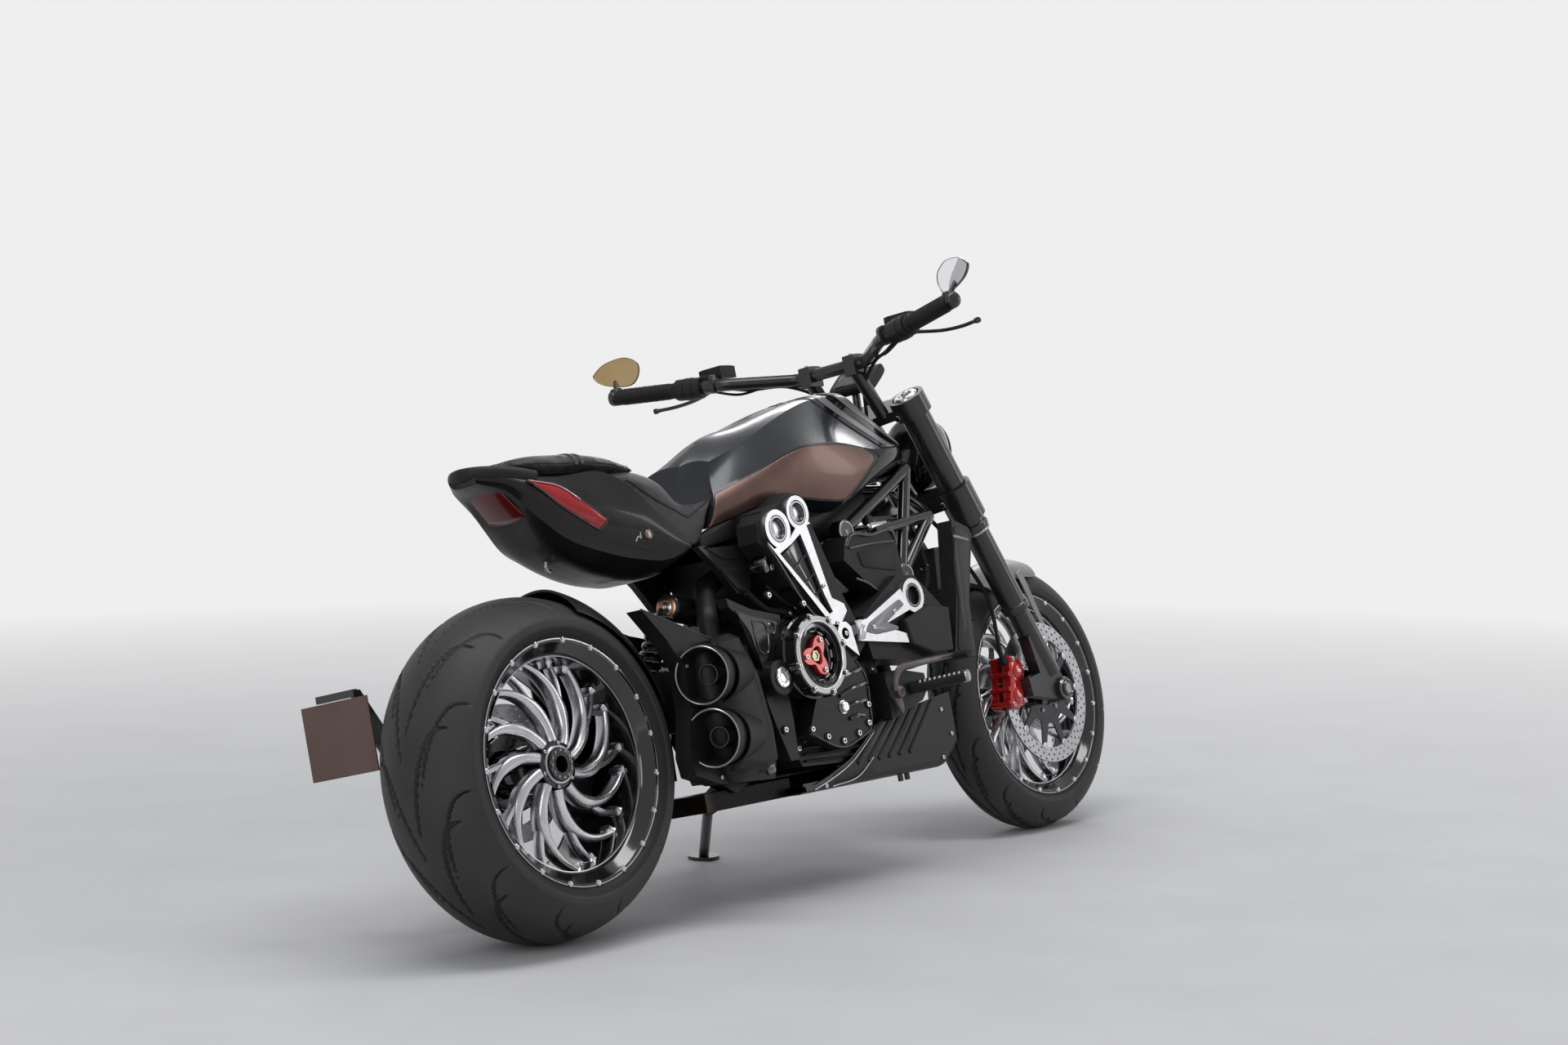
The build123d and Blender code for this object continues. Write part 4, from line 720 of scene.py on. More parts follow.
def makeTank():
    # the skin's two halves joined, then panels lifted off it; v has 8, 12, 12 and 3 steps in its four bands
    v = np.interp(np.arange(36), (0, 8, 20, 32, 35), (0, 1, 2, 3, 4))
    u = np.linspace(0, 1, tank["rows"])
    half = tankSkin(*np.meshgrid(u, v, indexing="ij"))
    rows = np.concatenate([half[:, ::-1] * flip, half[:, 1:]], axis=1)
    putPiece(
        "tankShell", gridShape(rows, closed=True, caps=True), "tankPaint", replaces=("fuel_tank",), sharp=14)
    upper, lower = (0.0, 1.985), (2.0, 2.985)
    # the panels' ends along the skin, in u
    seat, tip = 0.004, 0.995

    def copperEnd(v):
        # the copper flank's front end, drawn back towards the lower line
        drop = 0.15 * (v - 2) ** 1.3 + 0.02 * np.clip(v - 2, 0, 1) ** 8
        return 0.755 - 0.11 * np.clip(1 - (v - 2) / 0.45, 0, 1) ** 2.2 - drop

    def bandStart(v):
        # where the gloss nose's first grey band starts
        return 0.655 - 0.045 * (1 - v) * (v < 1) + 0.145 * np.clip(v - 1, 0, 1) ** 1.15

    copper = tankPanel((2.03, 2.985), lambda v: seat + 0 * v, copperEnd, 0.9)
    nose = tankPanel(upper, lambda v: bandStart(v) - 0.03, lambda v: tip + 0 * v, 1.3)
    under = tankPanel(lower, lambda v: copperEnd(v) + 0.03, lambda v: tip + 0 * v, 1.2)
    bands = [
        tankPanel(upper, lambda v: bandStart(v) + low, lambda v: bandStart(v) + high, 2.1, columns=columns)
        for low, high, columns in ((0.005, 0.05, 12), (0.115, 0.2, 24))]
    putPiece("tankCopper", copper, "copperPaint", thickness=0.0012, both=True)
    putPiece("tankNose", [nose, under], "noseBlack", thickness=0.001, both=True)
    putPiece("tankBands", bands, "bandGrey", thickness=0.0012, both=True)
    cap = turnShape(
        [(0, 0), (44, 0), (44, 5), (40, 8), (30, 8), (28, 6), (0, 6)], (1010, 0, 1004), (-0.14, 0, 1), 48)
    screw = turnShape([(0, 0), (3.4, 0), (3.4, 3), (0, 3.4)], (0, 0, 0), (-0.14, 0, 1), 10)
    a = np.arange(6) * np.pi / 3
    ring = repeated(screw, np.stack([1010 + 35 * np.cos(a), 35 * np.sin(a), 1011 + 4.9 * np.cos(a)], axis=1))
    filler = plateShape(
        [
            (468, 722), (512, 737), (582, 754), (660, 769), (736, 780), (700, 735), (640, 712), (560, 690),
            (470, 690)],
        -112, -92, 2.5, 6)
    putPiece("tankSkirts", filler, "matteBody", both=True)
    box = [(818, 0, 728), (835, 0, 730), (900, 0, 734), (1000, 0, 752), (1090, 0, 772), (1112, 0, 776)]
    low = np.array([30, 46, 50, 50, 44, 26])
    putPiece("airBox", sweepShape(np.array(box, float), low * 1.5, low, 36, power=0.6), "castBlack")
    putPiece("fuelCap", cap, "satinFrame")
    putPiece("fuelCapScrews", ring, "boltSteel")


makeTank()
print("tank made")


# Wheels: axle, tread, rim and blades. Radii and widths in mm, angles in degrees seen from the right.
wheels = {
    "rear": {
        "body": "rear_wheel", "axle": stance["rearAxle"], "tyre": "rear_tyre", "rubber": "rearTyreRubber",
        "radius": 324, "half": 120, "crown": 152, "flange": 231, "rimHalf": 110, "barrel": 200,
        "turns": 760, "grooves": 11, "blades": 10, "root": (44, -54), "tip": (201, -36), "wide": (11, 6.5),
        "deep": (17, 15), "studs": 227, "hub": 46, "sweep": 50, "fork": (112, 15, 12),
    },
    "front": {
        "body": "front_wheel", "axle": stance["frontAxle"], "tyre": "front_tyre", "rubber": "frontTyreRubber",
        "radius": 300, "half": 60, "crown": 64, "flange": 229, "rimHalf": 55, "barrel": 202,
        "turns": 720, "grooves": 12, "blades": 10, "root": (30, -2), "tip": (203, 0), "wide": (9, 6),
        "deep": (22, 12), "studs": 224, "hub": 34, "sweep": 50, "fork": (112, 15, 12),
    },
}


def makeTyre(wheel):
    # r(y) = R - c + sqrt(c^2 - y^2) over the tread, less grooves; the side walls bend down to the rim
    radius, half, crown = wheel["radius"], wheel["half"], wheel["crown"]
    y = np.linspace(-half, half, 56 if half > 80 else 40)
    tread = np.stack([y, radius - crown + np.sqrt(crown**2 - y**2)], axis=1)
    low = np.array([wheel["rimHalf"] - 1, wheel["flange"] + 0.5])
    start = tread[-1]
    middle = np.array([(half + wheel["rimHalf"]) / 2 + 4, (start[1] + low[1]) / 2])
    control = 2 * middle - (start + low) / 2
    t = np.linspace(0, 1, 13)[1:, None]
    wall = start * (1 - t) ** 2 + control * 2 * t * (1 - t) + low * t**2
    wall += np.array([1.0, 0.2]) * (0.8 * np.isin(np.arange(12), (3, 4, 8)))[:, None]
    foot = np.array([[low[0] - 7.5, low[1]], [low[0] - 8, low[1] - 14], [low[0] - 20, low[1] - 14]])
    rise = np.array([[half * 0.84, start[1] - 6], [half * 0.5, radius - 22], [0, radius - 15]])
    side = np.concatenate([wall, foot, rise])
    other = side[::-1][1:] * np.array([-1.0, 1.0])
    profile = np.concatenate([tread, side, other])
    turn = np.linspace(0, 2 * np.pi, wheel["turns"], endpoint=False)
    a, across = np.meshgrid(turn, profile[:, 0], indexing="ij")
    reach = np.broadcast_to(profile[:, 1], a.shape).copy()
    step = 2 * np.pi / wheel["grooves"]
    cut = np.zeros(a.shape)
    onTread = np.arange(len(profile)) < len(tread)
    for sign in (-1, 1):
        for y0, y1, lead, sweep, bend, width in (
            (0.03, 0.72, 0.0, 0.62, 0.2, 4.6), (0.3, 0.95, 0.5, 0.5, 0.16, 3.4),
        ):
            t = (sign * across / half - y0) / (y1 - y0)
            line = step * (lead + (0.25 if sign > 0 else 0.0)) - sweep * t - bend * np.sin(np.pi * t)
            off = (a - line + step / 2) % step - step / 2
            slope = (sweep + bend * np.pi * np.cos(np.pi * t)) * radius / ((y1 - y0) * half)
            away = np.abs(off) * radius / np.sqrt(1 + slope**2)
            fade = np.clip(8 * t, 0, 1) * np.clip(8 * (1 - t), 0, 1)
            cut = np.maximum(cut, np.clip((width * (0.4 + 0.6 * fade) - away) / 1.6, 0, 1) * (fade > 0))
    reach -= 4.2 * cut * onTread
    x0, z0 = np.array(wheel["axle"]) * 1000
    rows = np.stack([x0 + reach * np.cos(a), across, z0 + reach * np.sin(a)], axis=-1)
    rows = np.concatenate([rows, rows[:1]])
    tread = gridShape(rows, closed=True)
    putPiece(wheel["tyre"] + "_tread", tread, wheel["rubber"], wheel["body"], (wheel["tyre"],), sharp=36)


def bladePath(wheel, start, first, last, swirl, count=22):
    # radius rises evenly; angle = start + swirl * (0.45 t + 0.55 t^2); y slides from hub to barrel
    t = np.linspace(0, 1, count)
    r = first[0] + (last[0] - first[0]) * t
    a = np.radians(start + swirl * (0.45 * t + 0.55 * t**2))
    x0, z0 = np.array(wheel["axle"]) * 1000
    return np.stack([x0 + r * np.cos(a), first[1] + (last[1] - first[1]) * t, z0 + r * np.sin(a)], axis=1)


def makeRim(name, wheel):
    # a lipped barrel, bright edges, studs on a circle, blades that sweep out with forked ends, and the hub
    x0, z0 = np.array(wheel["axle"]) * 1000
    centre = (x0, 0, z0)
    f, h, b = wheel["flange"], wheel["rimHalf"], wheel["barrel"]
    lip = [(f, h - 7.7), (f, h - 2), (f - 1.5, h + 0.4), (f - 7, h + 0.4), (f - 9, h - 1), (f - 12, h - 5)]
    lip += [(b + 6, h - 13), (b + 1, h - 20), (b - 0.5, h - 30), (b - 1, h * 0.3)]
    outer = np.array(lip, float)
    inner = outer[::-1] * np.array([1.0, -1.0])
    seat = np.array([(f - 15.3, -h + 8), (f - 15.3, h - 8)], float)
    barrel = turnShape(np.concatenate([outer, inner, seat]), centre, segments=160, looped=True)
    putPiece(name + "Barrel", barrel, "glossBlack", wheel["body"], (name.replace("Rim", "_rim"),), sharp=30)
    edge = [(f, h - 1.6), (f - 0.2, h + 0.9), (f - 2.4, h + 1.0), (f - 2.6, h)]
    rings = [turnShape(np.array(edge) * (1, s), centre, segments=160) for s in (-1, 1)]
    thread = [(b + 2.2, h - 20), (b - 0.6, h - 20.5), (b - 0.6, h - 22.5), (b + 2, h - 23)]
    rings += [turnShape(np.array(thread) * (1, s), centre, segments=120) for s in (-1, 1)]
    putPiece(name + "Edges", rings, "machinedAlloy", wheel["body"])
    studs = []
    for s in (-1, 1):
        a = np.radians(83 - np.arange(19) * 360 / 19)
        places = np.stack([x0 + wheel["studs"] * np.cos(a), np.full(19, s * (h + 0.3)),
                           z0 + wheel["studs"] * np.sin(a)], axis=1)
        dome = turnShape(
            np.array([(0, 4.4), (3.2, 4.0), (5.6, 2.4), (6.6, 0), (6.6, -2)]) * (1, s), (0, 0, 0),
            segments=14)
        studs.append(repeated(dome, places))
    putPiece(name + "Studs", studs, "brightAlloy", wheel["body"])
    blades = []
    forkRadius, forkStart, forkSwirl = wheel["fork"]
    first, last = wheel["root"], wheel["tip"]
    t = np.linspace(0, 1, 22)
    wideStart, wideEnd = wheel["wide"]
    wide = wideStart + (wideEnd - wideStart) * t + 3.5 * np.exp(-((t - 0.42) / 0.16) ** 2)
    deep = wheel["deep"][0] + (wheel["deep"][1] - wheel["deep"][0]) * t
    forkAt = (forkRadius, first[1] + (last[1] - first[1]) * 0.45)
    for k in range(wheel["blades"]):
        start = 85 - k * 36
        blades.append(sweepShape(
            bladePath(wheel, start, first, last, wheel["sweep"]), wide, deep, 14, (0, 1, 0), 0.62))
        prong = bladePath(wheel, start + forkStart, forkAt, last, forkSwirl, 14)
        u = np.linspace(0, 1, 14)
        blades.append(sweepShape(prong, 6.8 - 2.0 * u + 2 * u**4, 12 - 1.5 * u, 12, (0, 1, 0), 0.62))
        for angle, size in ((wheel["sweep"], 12), (forkStart + forkSwirl, 10)):
            foot = bladePath(wheel, start + angle, (b - 14, last[1]), (b + 0.5, last[1]), 0, 6)
            v = np.linspace(0, 1, 6)
            blades.append(sweepShape(
                foot, wheel["wide"][1] + (size - 5) * v**2, 13 + 5 * v**2, 12, (0, 1, 0), 0.7))
    putPiece(name + "Blades", blades, "polishedBlade", wheel["body"], sharp=42)
    hub = wheel["hub"]
    if name == "rearRim":
        profile = [
            (26, 34), (hub, 34), (hub, -58), (hub - 2, -67), (hub - 8, -70), (hub - 12, -70.5), (26, -70.5)]
    else:
        profile = [
            (12.4, 71.5), (33, 71.5), (34, 40), (26, 30), (24, 0), (26, -30), (34, -40), (33, -71.5),
            (12.4, -71.5)]
    putPiece(name + "Hub", turnShape(profile, centre, segments=72, looped=True), "glossBlack", wheel["body"])


def makeHubNut():
    # centre nut of the single-sided rear wheel: a castellated ring, a bright collar and a bored core
    x0, z0 = np.array(wheels["rear"]["axle"]) * 1000
    centre = (x0, 0, z0)
    a = np.radians(np.arange(12) * 30)
    ring = turnShape([(37, -70), (37, -74), (35, -76), (32.5, -76), (32, -71)], centre, segments=72)
    putPiece("hubCollar", ring, "machinedAlloy", "rear_wheel")
    nut = turnShape(
        [(31, -60), (31, -78), (29, -80), (24, -80), (22, -78), (21, -72), (16.4, -70), (16.2, 300)], centre,
        segments=60)
    tooth = plateShape([(-4, 22.5), (4, 22.5), (4.6, 28.6), (-4.6, 28.6)], -81.4, -77, 0.6, 1)
    teeth = []
    for angle in a:
        c, s = np.cos(angle), np.sin(angle)
        turned = tooth[0].copy()
        turned[:, 0] = tooth[0][:, 0] * c - tooth[0][:, 2] * s
        turned[:, 2] = tooth[0][:, 0] * s + tooth[0][:, 2] * c
        teeth.append((turned + np.array([x0, 0, z0]), tooth[1]))
    putPiece("hubNut", [nut] + teeth, "blackChrome", "rear_wheel")
    pins = np.stack(
        [x0 + 41 * np.cos(a[::2] + 0.3), np.full(6, -70.0), z0 + 41 * np.sin(a[::2] + 0.3)], axis=1)
    putPiece("hubPins", repeated(boltShape(3.6, 3.0), pins), "boltSteel", "rear_wheel")


def drilledRing(inner, outer, count, rows, hole, y0, y1, centre):
    # polar cells, each with an eight-sided hole: border points of the cell, points of the hole, on both faces
    ring = np.linspace(0, 2 * np.pi, 9)[:8] + np.pi / 4
    border = np.array([(1, 1), (0, 1), (-1, 1), (-1, 0), (-1, -1), (0, -1), (1, -1), (1, 0)], float) * 0.5
    k = np.arange(count)[None, :, None]
    j = np.arange(rows)[:, None, None]
    high = (outer - inner) / rows

    def spots(u, v):
        # angle and radius of a place in each cell; every second row is set off by half a cell
        return 2 * np.pi / count * (k + u + 0.5 * (j % 2)), inner + high * (j + 0.5 + v)

    edgeA, edgeR = spots(border[:, 0], border[:, 1])
    middleA, middleR = spots(np.zeros(8), np.zeros(8))
    holeA = middleA + hole * np.cos(ring) / middleR
    holeR = middleR + hole * np.sin(ring)
    sets = []
    for a, r in ((edgeA, edgeR), (holeA, holeR)):
        for y in (y0, y1):
            a, r = np.broadcast_arrays(a, r)
            sets.append(np.stack(
                [centre[0] + r * np.cos(a), np.full(a.shape, float(y)), centre[2] + r * np.sin(a)], axis=-1))
    points = np.stack(sets, axis=2).reshape(-1, 3)
    start = (np.arange(rows * count) * 32)[:, None]
    n = np.arange(8)
    m = (n + 1) % 8
    faces = []
    for first, second in ((0, 16), (8, 24), (16, 24)):
        quad = np.stack([first + n, first + m, second + m, second + n], axis=1)
        faces.append((start[:, :, None] + quad[None]).reshape(-1, 4))
    return points, faces


def makeDiscs():
    # drilled friction rings, their bobbins and lobed carriers
    for name, wheel, y0, y1, outer, inner, count, arms, node in (
        ("frontDiscLeft", "front", 72, 77, 160, 127, 44, 10, ("front_discs",)),
        ("frontDiscRight", "front", -77, -72, 160, 127, 44, 10, ()),
        ("rearDisc", "rear", 52, 57, 132, 98, 36, 8, ("rear_disc",)),
    ):
        x0, z0 = np.array(wheels[wheel]["axle"]) * 1000
        centre = (x0, 0, z0)
        body = wheels[wheel]["body"]
        finish = wheel + "DiscSteel"
        ring = drilledRing(inner, outer, count, 3, 2.9, y0, y1, centre)
        walls = [turnShape([(r, y0), (r, y1)], centre, segments=count * 2) for r in (inner, outer)]
        putPiece(name + "Ring", [ring] + walls, finish, body, node, sharp=30)
        a = np.radians(np.arange(arms) * 360 / arms)
        side = -1 if y0 < 0 else 1
        face = y0 if side < 0 else y1
        spots = np.stack(
            [x0 + (inner - 1) * np.cos(a), np.full(arms, face - side * 3.0), z0 + (inner - 1) * np.sin(a)],
            axis=1)
        bobbin = turnShape(
            np.array([(0, 5.5), (4, 5.5), (4.5, 4.6), (8.5, 4.2), (8.6, 0)]) * (1, side), (0, 0, 0),
            segments=18)
        putPiece(name + "Bobbins", repeated(bobbin, spots), "boltSteel", body)
        turn = np.linspace(0, 2 * np.pi, arms * 24, endpoint=False)
        wave = np.clip(1.3 * (0.5 + 0.5 * np.cos(turn * arms)) ** 4, 0, 1)
        rim = 72 + (inner - 72) * wave
        bore = np.full(len(turn), 54.0)
        thin = [y0 + 0.6, y1 - 0.6]
        loops = [(bore, thin[0]), (rim, thin[0]), (rim, thin[1]), (bore, thin[1]), (bore, thin[0])]
        rows = [
            np.stack([x0 + r * np.cos(turn), np.full(len(turn), y), z0 + r * np.sin(turn)], axis=1)
            for r, y in loops]
        hubRing = turnShape([(56, y0), (64, y0), (64, y1), (56, y1)], centre, segments=60, looped=True)
        profile = [(30, y0 + 0.8), (57, y0 + 0.8), (57, y1 - 0.8), (30, y1 - 0.8)]
        neck = turnShape(profile, centre, segments=60, looped=True)
        putPiece(
            name + "Carrier", [gridShape(np.array(rows), closed=True), hubRing, neck], "glossBlack", body)
        bolts = np.stack([x0 + 46 * np.cos(a[::2] + 0.4), np.full(len(a[::2]), face - side * 0.8),
                          z0 + 46 * np.sin(a[::2] + 0.4)], axis=1)
        putPiece(name + "Bolts", repeated(boltShape(4.5, 4, (0, side, 0)), bolts), "boltSteel", body)


for wheel in wheels.values():
    makeTyre(wheel)
makeRim("rearRim", wheels["rear"])
makeRim("frontRim", wheels["front"])
makeHubNut()
makeDiscs()
print("wheels made")


def skinRows(lines, count, across, sharpLines=()):
    # lines run along the machine; a second Hermite curve joins them, the listed lines kept as sharp edges
    along = np.stack([curve(line, count) for line in lines])
    knots = np.arange(len(lines))
    pieces, last = [], 0
    for edge in [*sharpLines, len(lines) - 1]:
        part = along[last : edge + 1]
        t = np.linspace(last, edge, across * (edge - last) + 1)
        flat = np.concatenate([knots[last : edge + 1, None], part.reshape(len(part), -1)], axis=1)
        pieces.append(through(flat, t).reshape(-1, count, 3)[: None if edge == len(lines) - 1 else -1])
        last = edge
    return np.concatenate(pieces).transpose(1, 0, 2)


def wholeRows(rows):
    # right half and its mirror image as one closed ring per row; its end columns lie on the middle plane
    return np.concatenate([rows, (rows * flip)[:, ::-1][:, 1:-1]], axis=1)


def layOn(rows, x, z, lift):
    # y of a skin at points of its side view: mean of the four nearest grid points, weighted by 1 / distance^2
    flat = rows.reshape(-1, 3)
    gap = (flat[None, :, 0] - x.reshape(-1, 1)) ** 2 + (flat[None, :, 2] - z.reshape(-1, 1)) ** 2
    near = np.argpartition(gap, 4, axis=1)[:, :4]
    weight = 1 / (np.take_along_axis(gap, near, axis=1) + 0.5)
    y = (flat[near, 1] * weight).sum(axis=1) / weight.sum(axis=1)
    return np.stack([x, y.reshape(x.shape) + lift * np.sign(y.reshape(x.shape)), z], axis=-1)


# Tail: lines from the blunt end forward on the right side (y counted positive there and mirrored).
tail = {
    "deck": [
        (-36, 0, 900), (30, 0, 898), (120, 0, 890), (250, 0, 872), (330, 0, 850), (400, 0, 800),
        (430, 0, 740)],
    "crease": [(-44, 30, 892), (0, 62, 884), (45, 80, 868), (110, 87, 863), (249, 95, 862), (289, 101, 841),
               (325, 111, 803), (381, 117, 753), (430, 119, 704)],
    "flank": [
        (-50, 34, 878), (-6, 68, 862), (45, 88, 840), (120, 103, 808), (220, 114, 778), (300, 119, 752),
        (370, 121, 724), (431, 118, 702)],
    "low": [
        (-44, 30, 868), (4, 56, 848), (62, 72, 790), (110, 84, 748), (200, 94, 712), (300, 99, 690),
        (370, 105, 684), (431, 114, 699)],
    "belly": [
        (-42, 14, 866), (10, 34, 842), (70, 44, 776), (118, 50, 728), (205, 56, 684), (300, 60, 662),
        (368, 70, 660), (428, 90, 690)],
    "keel": [
        (-42, 0, 866), (12, 0, 840), (74, 0, 772), (120, 0, 724), (207, 0, 680), (300, 0, 658),
        (366, 0, 656), (424, 0, 688)],
    "lampTop": [(35, 860), (60, 856), (100, 848), (150, 812), (205, 771)],
    "lampLow": [(47, 848), (62, 836), (82, 818), (130, 784), (186, 752)],
}
tailRows = skinRows(
    [tail[key] for key in ("deck", "crease", "flank", "low", "belly", "keel")], 90, 7, (1, 3))


def makeTail():
    # the shell with its lamps laid on it: a lens is a patch between two lines of the side view, swollen
    rows = tailRows * flip
    shell = gridShape(wholeRows(rows), closed=True, caps=True)
    putPiece("tailShell", shell, "tailPaint", replaces=("tail_cowl", "tail_lamps"), sharp=24)
    side = rows[:, 7:29]
    top, low = curve(np.array(tail["lampTop"]), 40), curve(np.array(tail["lampLow"]), 40)
    t = np.linspace(0, 1, 12)[:, None, None]
    flat = top[None] * (1 - t) + low[None] * t
    swell = 2.5 + 2.5 * np.sin(np.pi * t[..., 0]) ** 0.5
    lens = layOn(side, flat[..., 0], flat[..., 1], 0)
    lens[..., 1] -= swell
    putPiece("tailLampLens", gridShape(lens), "redLens", thickness=0.004, both=True)
    ridge = lens[1, 1:-1] + np.array([0, -1.2, 0])
    bright = sweepShape(ridge[:24], 2.6, 1.2, 8)
    putPiece("tailLampBrow", bright, "lampBrow", both=True)
    edge = np.concatenate([lens[0], lens[1:-1, -1], lens[-1, ::-1], lens[::-1, 0]])
    frameTube = sweepShape(edge, 1.8, 1.8, 8)
    putPiece("tailLampRims", frameTube, "glossBlack", both=True)
    # rounded lip that overhangs the recessed rear lens
    lipPath = [(62, -83, 866), (20, -72, 876), (-20, -52, 884), (-46, -24, 888), (-52, 0, 889)]
    lipPath += [(x, -y, z) for x, y, z in lipPath[-2::-1]]
    lip = sweepShape(curve(lipPath, 60), 8, 12, 16)
    putPiece("tailLip", lip, "grainPlastic")
    a = np.linspace(-1, 1, 21)[None, :]
    b = np.linspace(0, 1, 9)[:, None]
    x = -14 + 66 * b
    y = a * (40 + 8 * b)
    z = 864 - 70 * b + 6 * (a**2) - 3
    lensBack = gridShape(np.stack([x - 2.5 * (1 - a**2) * np.sin(np.pi * b), y, z], axis=-1))
    putPiece("tailRearLens", lensBack, "darkLens", thickness=0.003)
    # button with a copper ring, small bracket and plate hook
    spot = layOn(side, np.array([312.0]), np.array([735.0]), 0)[0]
    button = turnShape([(11, 4), (11, 0), (9, -2.4), (6.5, -2.6), (6, -0.5), (0, -0.5)], spot, (0, 1, 0), 36)
    putPiece("tailButtonRing", button, "copperPaint", both=True)
    core = turnShape([(6, 2), (6, -1.6), (0, -1.8)], spot, (0, 1, 0), 24)
    putPiece("tailButtonCore", core, "glossBlack", both=True)
    clip = layOn(side, np.array([280.0, 284.0, 291.0, 288.0]), np.array([724.0, 733.0, 729.0, 741.0]), 1.5)
    putPiece("tailClip", tubeShape(clip, 1.7, 14, 8), "boltSteel")
    putPiece(
        "tailHook", tubeShape([(130, -8, 712), (128, -8, 698), (134, -8, 692), (140, -8, 696)], 3, 16, 8),
        "boltSteel")
    seamLine = layOn(side, *np.array([(150, 742), (230, 726), (330, 700)], float).T, 0.3)
    putPiece("tailSeam", tubeShape(seamLine, 0.9, 30, 6), "grainPlastic", both=True)


# Seats: lines from the rear forward on the right side; each becomes a stuffed cover by a short pressure run.
riderLines = {
    "middle": [
        (262, 0, 862), (330, 0, 862), (394, 0, 836), (440, 0, 798), (495, 0, 779), (540, 0, 798),
        (575, 0, 846), (600, 0, 889)],
    "saddle": [
        (262, 50, 864), (332, 52, 863), (395, 56, 837), (440, 62, 798), (494, 66, 778), (537, 64, 798),
        (570, 60, 846), (594, 50, 887)],
    "shoulder": [
        (262, 82, 864), (332, 88, 860), (394, 96, 834), (438, 106, 790), (486, 109, 772), (526, 106, 792),
        (556, 97, 842), (578, 82, 876)],
    "side": [
        (258, 94, 856), (298, 105, 836), (346, 115, 788), (390, 119, 744), (430, 119, 716), (470, 114, 722),
        (512, 104, 762), (545, 102, 812)],
    "skirt": [
        (262, 92, 848), (300, 102, 826), (348, 112, 774), (392, 117, 728), (428, 117, 704), (462, 112, 706),
        (502, 102, 742), (536, 100, 796)],
    "under": [
        (264, 70, 844), (304, 78, 812), (352, 86, 760), (400, 92, 720), (436, 92, 706), (474, 88, 712),
        (512, 82, 752), (546, 78, 806)],
    "base": [
        (266, 0, 842), (310, 0, 806), (360, 0, 756), (410, 0, 722), (446, 0, 712), (486, 0, 720),
        (524, 0, 762), (560, 0, 816)],
}
pillionLines = {
    "middle": [(20, 0, 898), (60, 0, 904), (130, 0, 905), (220, 0, 901), (300, 0, 887), (362, 0, 866)],
    "crown": [(24, 34, 898), (62, 46, 904), (130, 54, 905), (220, 56, 901), (300, 54, 887), (360, 50, 866)],
    "shoulder": [
        (34, 54, 895), (68, 70, 899), (132, 82, 897), (220, 87, 893), (298, 86, 880), (352, 80, 864)],
    "side": [(38, 58, 891), (70, 78, 888), (132, 90, 885), (220, 95, 882), (298, 94, 873), (348, 88, 862)],
    "under": [(42, 52, 886), (72, 70, 882), (132, 82, 880), (220, 86, 877), (298, 86, 869), (344, 80, 860)],
    "base": [(44, 0, 886), (72, 0, 882), (132, 0, 880), (220, 0, 877), (298, 0, 869), (344, 0, 860)],
}
stuffing = {
    "voxel": 0.0055, "frames": 20, "reach": 0.006,
    "cloth": {"quality": 5, "mass": 0.3, "tension_stiffness": 25, "compression_stiffness": 25,
              "bending_stiffness": 6, "use_pressure": True, "uniform_pressure_force": 4.0},
}


def makeCushion(name, lines, node, inset):
    # the crowned form, drawn in a little, is filled by cloth pressure; no point may move further than reach
    rows = skinRows(list(lines.values()), 60, 6) * flip
    points, faces = gridShape(wholeRows(rows), closed=True, caps=True)
    centre = points.mean(axis=0)
    away = points - centre
    points = centre + away * (1 - inset / np.linalg.norm(away, axis=1, keepdims=True))
    cover = putPiece(name, (points, faces), "seatLeather", replaces=(node,), sharp=70)
    bpy.context.view_layer.objects.active = cover
    remesh = cover.modifiers.new("voxels", "REMESH")
    remesh.mode = "VOXEL"
    remesh.voxel_size = stuffing["voxel"]
    bpy.ops.object.modifier_apply(modifier="voxels")
    start = np.empty(len(cover.data.vertices) * 3)
    cover.data.vertices.foreach_get("co", start)
    cloth = cover.modifiers.new("stuffing", "CLOTH")
    for key, value in stuffing["cloth"].items():
        setattr(cloth.settings, key, value)
    cloth.settings.effector_weights.gravity = 0
    cloth.collision_settings.use_collision = False
    cloth.point_cache.frame_start = 1
    cloth.point_cache.frame_end = stuffing["frames"]
    for step in range(1, stuffing["frames"] + 1):
        bpy.context.scene.frame_set(step)
    bpy.ops.object.modifier_apply(modifier="stuffing")
    bpy.context.scene.frame_set(1)
    grown = np.empty_like(start)
    cover.data.vertices.foreach_get("co", grown)
    move = (grown - start).reshape(-1, 3)
    size = np.linalg.norm(move, axis=1, keepdims=True)
    move *= np.minimum(1, stuffing["reach"] / (size + 1e-9))
    cover.data.vertices.foreach_set("co", (start.reshape(-1, 3) + move).reshape(-1))
    smooth = cover.modifiers.new("round", "SUBSURF")
    smooth.levels = smooth.render_levels = 1
    bpy.ops.object.modifier_apply(modifier="round")
    cover.data.polygons.foreach_set("use_smooth", np.ones(len(cover.data.polygons), bool))
    cover.data.update()
    return cover


def onCover(cover, path, count, lift=0.0):
    # points of a path in upright mm moved to the nearest places of a cover
    world = toWorld(curve(path, count))
    spots = []
    for point in world:
        found, place, normal, face = cover.closest_point_on_mesh(Vector(point))
        spots.append(np.array(place) + np.array(normal) * lift / 1000)
    return toUpright(np.array(spots))


def seamAndStitches(cover, paths):
    # a piped seam on each path with a row of short stitches above it
    pipes, threads = [], []
    for path in paths:
        line = onCover(cover, path, 64, 0.1)
        pipes.append(sweepShape(line, 1.4, 1.1, 8))
        fine = onCover(cover, path, 150, 0.5)
        for k in range(2, 146, 4):
            threads.append(sweepShape(fine[k : k + 3] + (0, 0, 3.4), 0.55, 0.5, 6))
    return pipes, threads


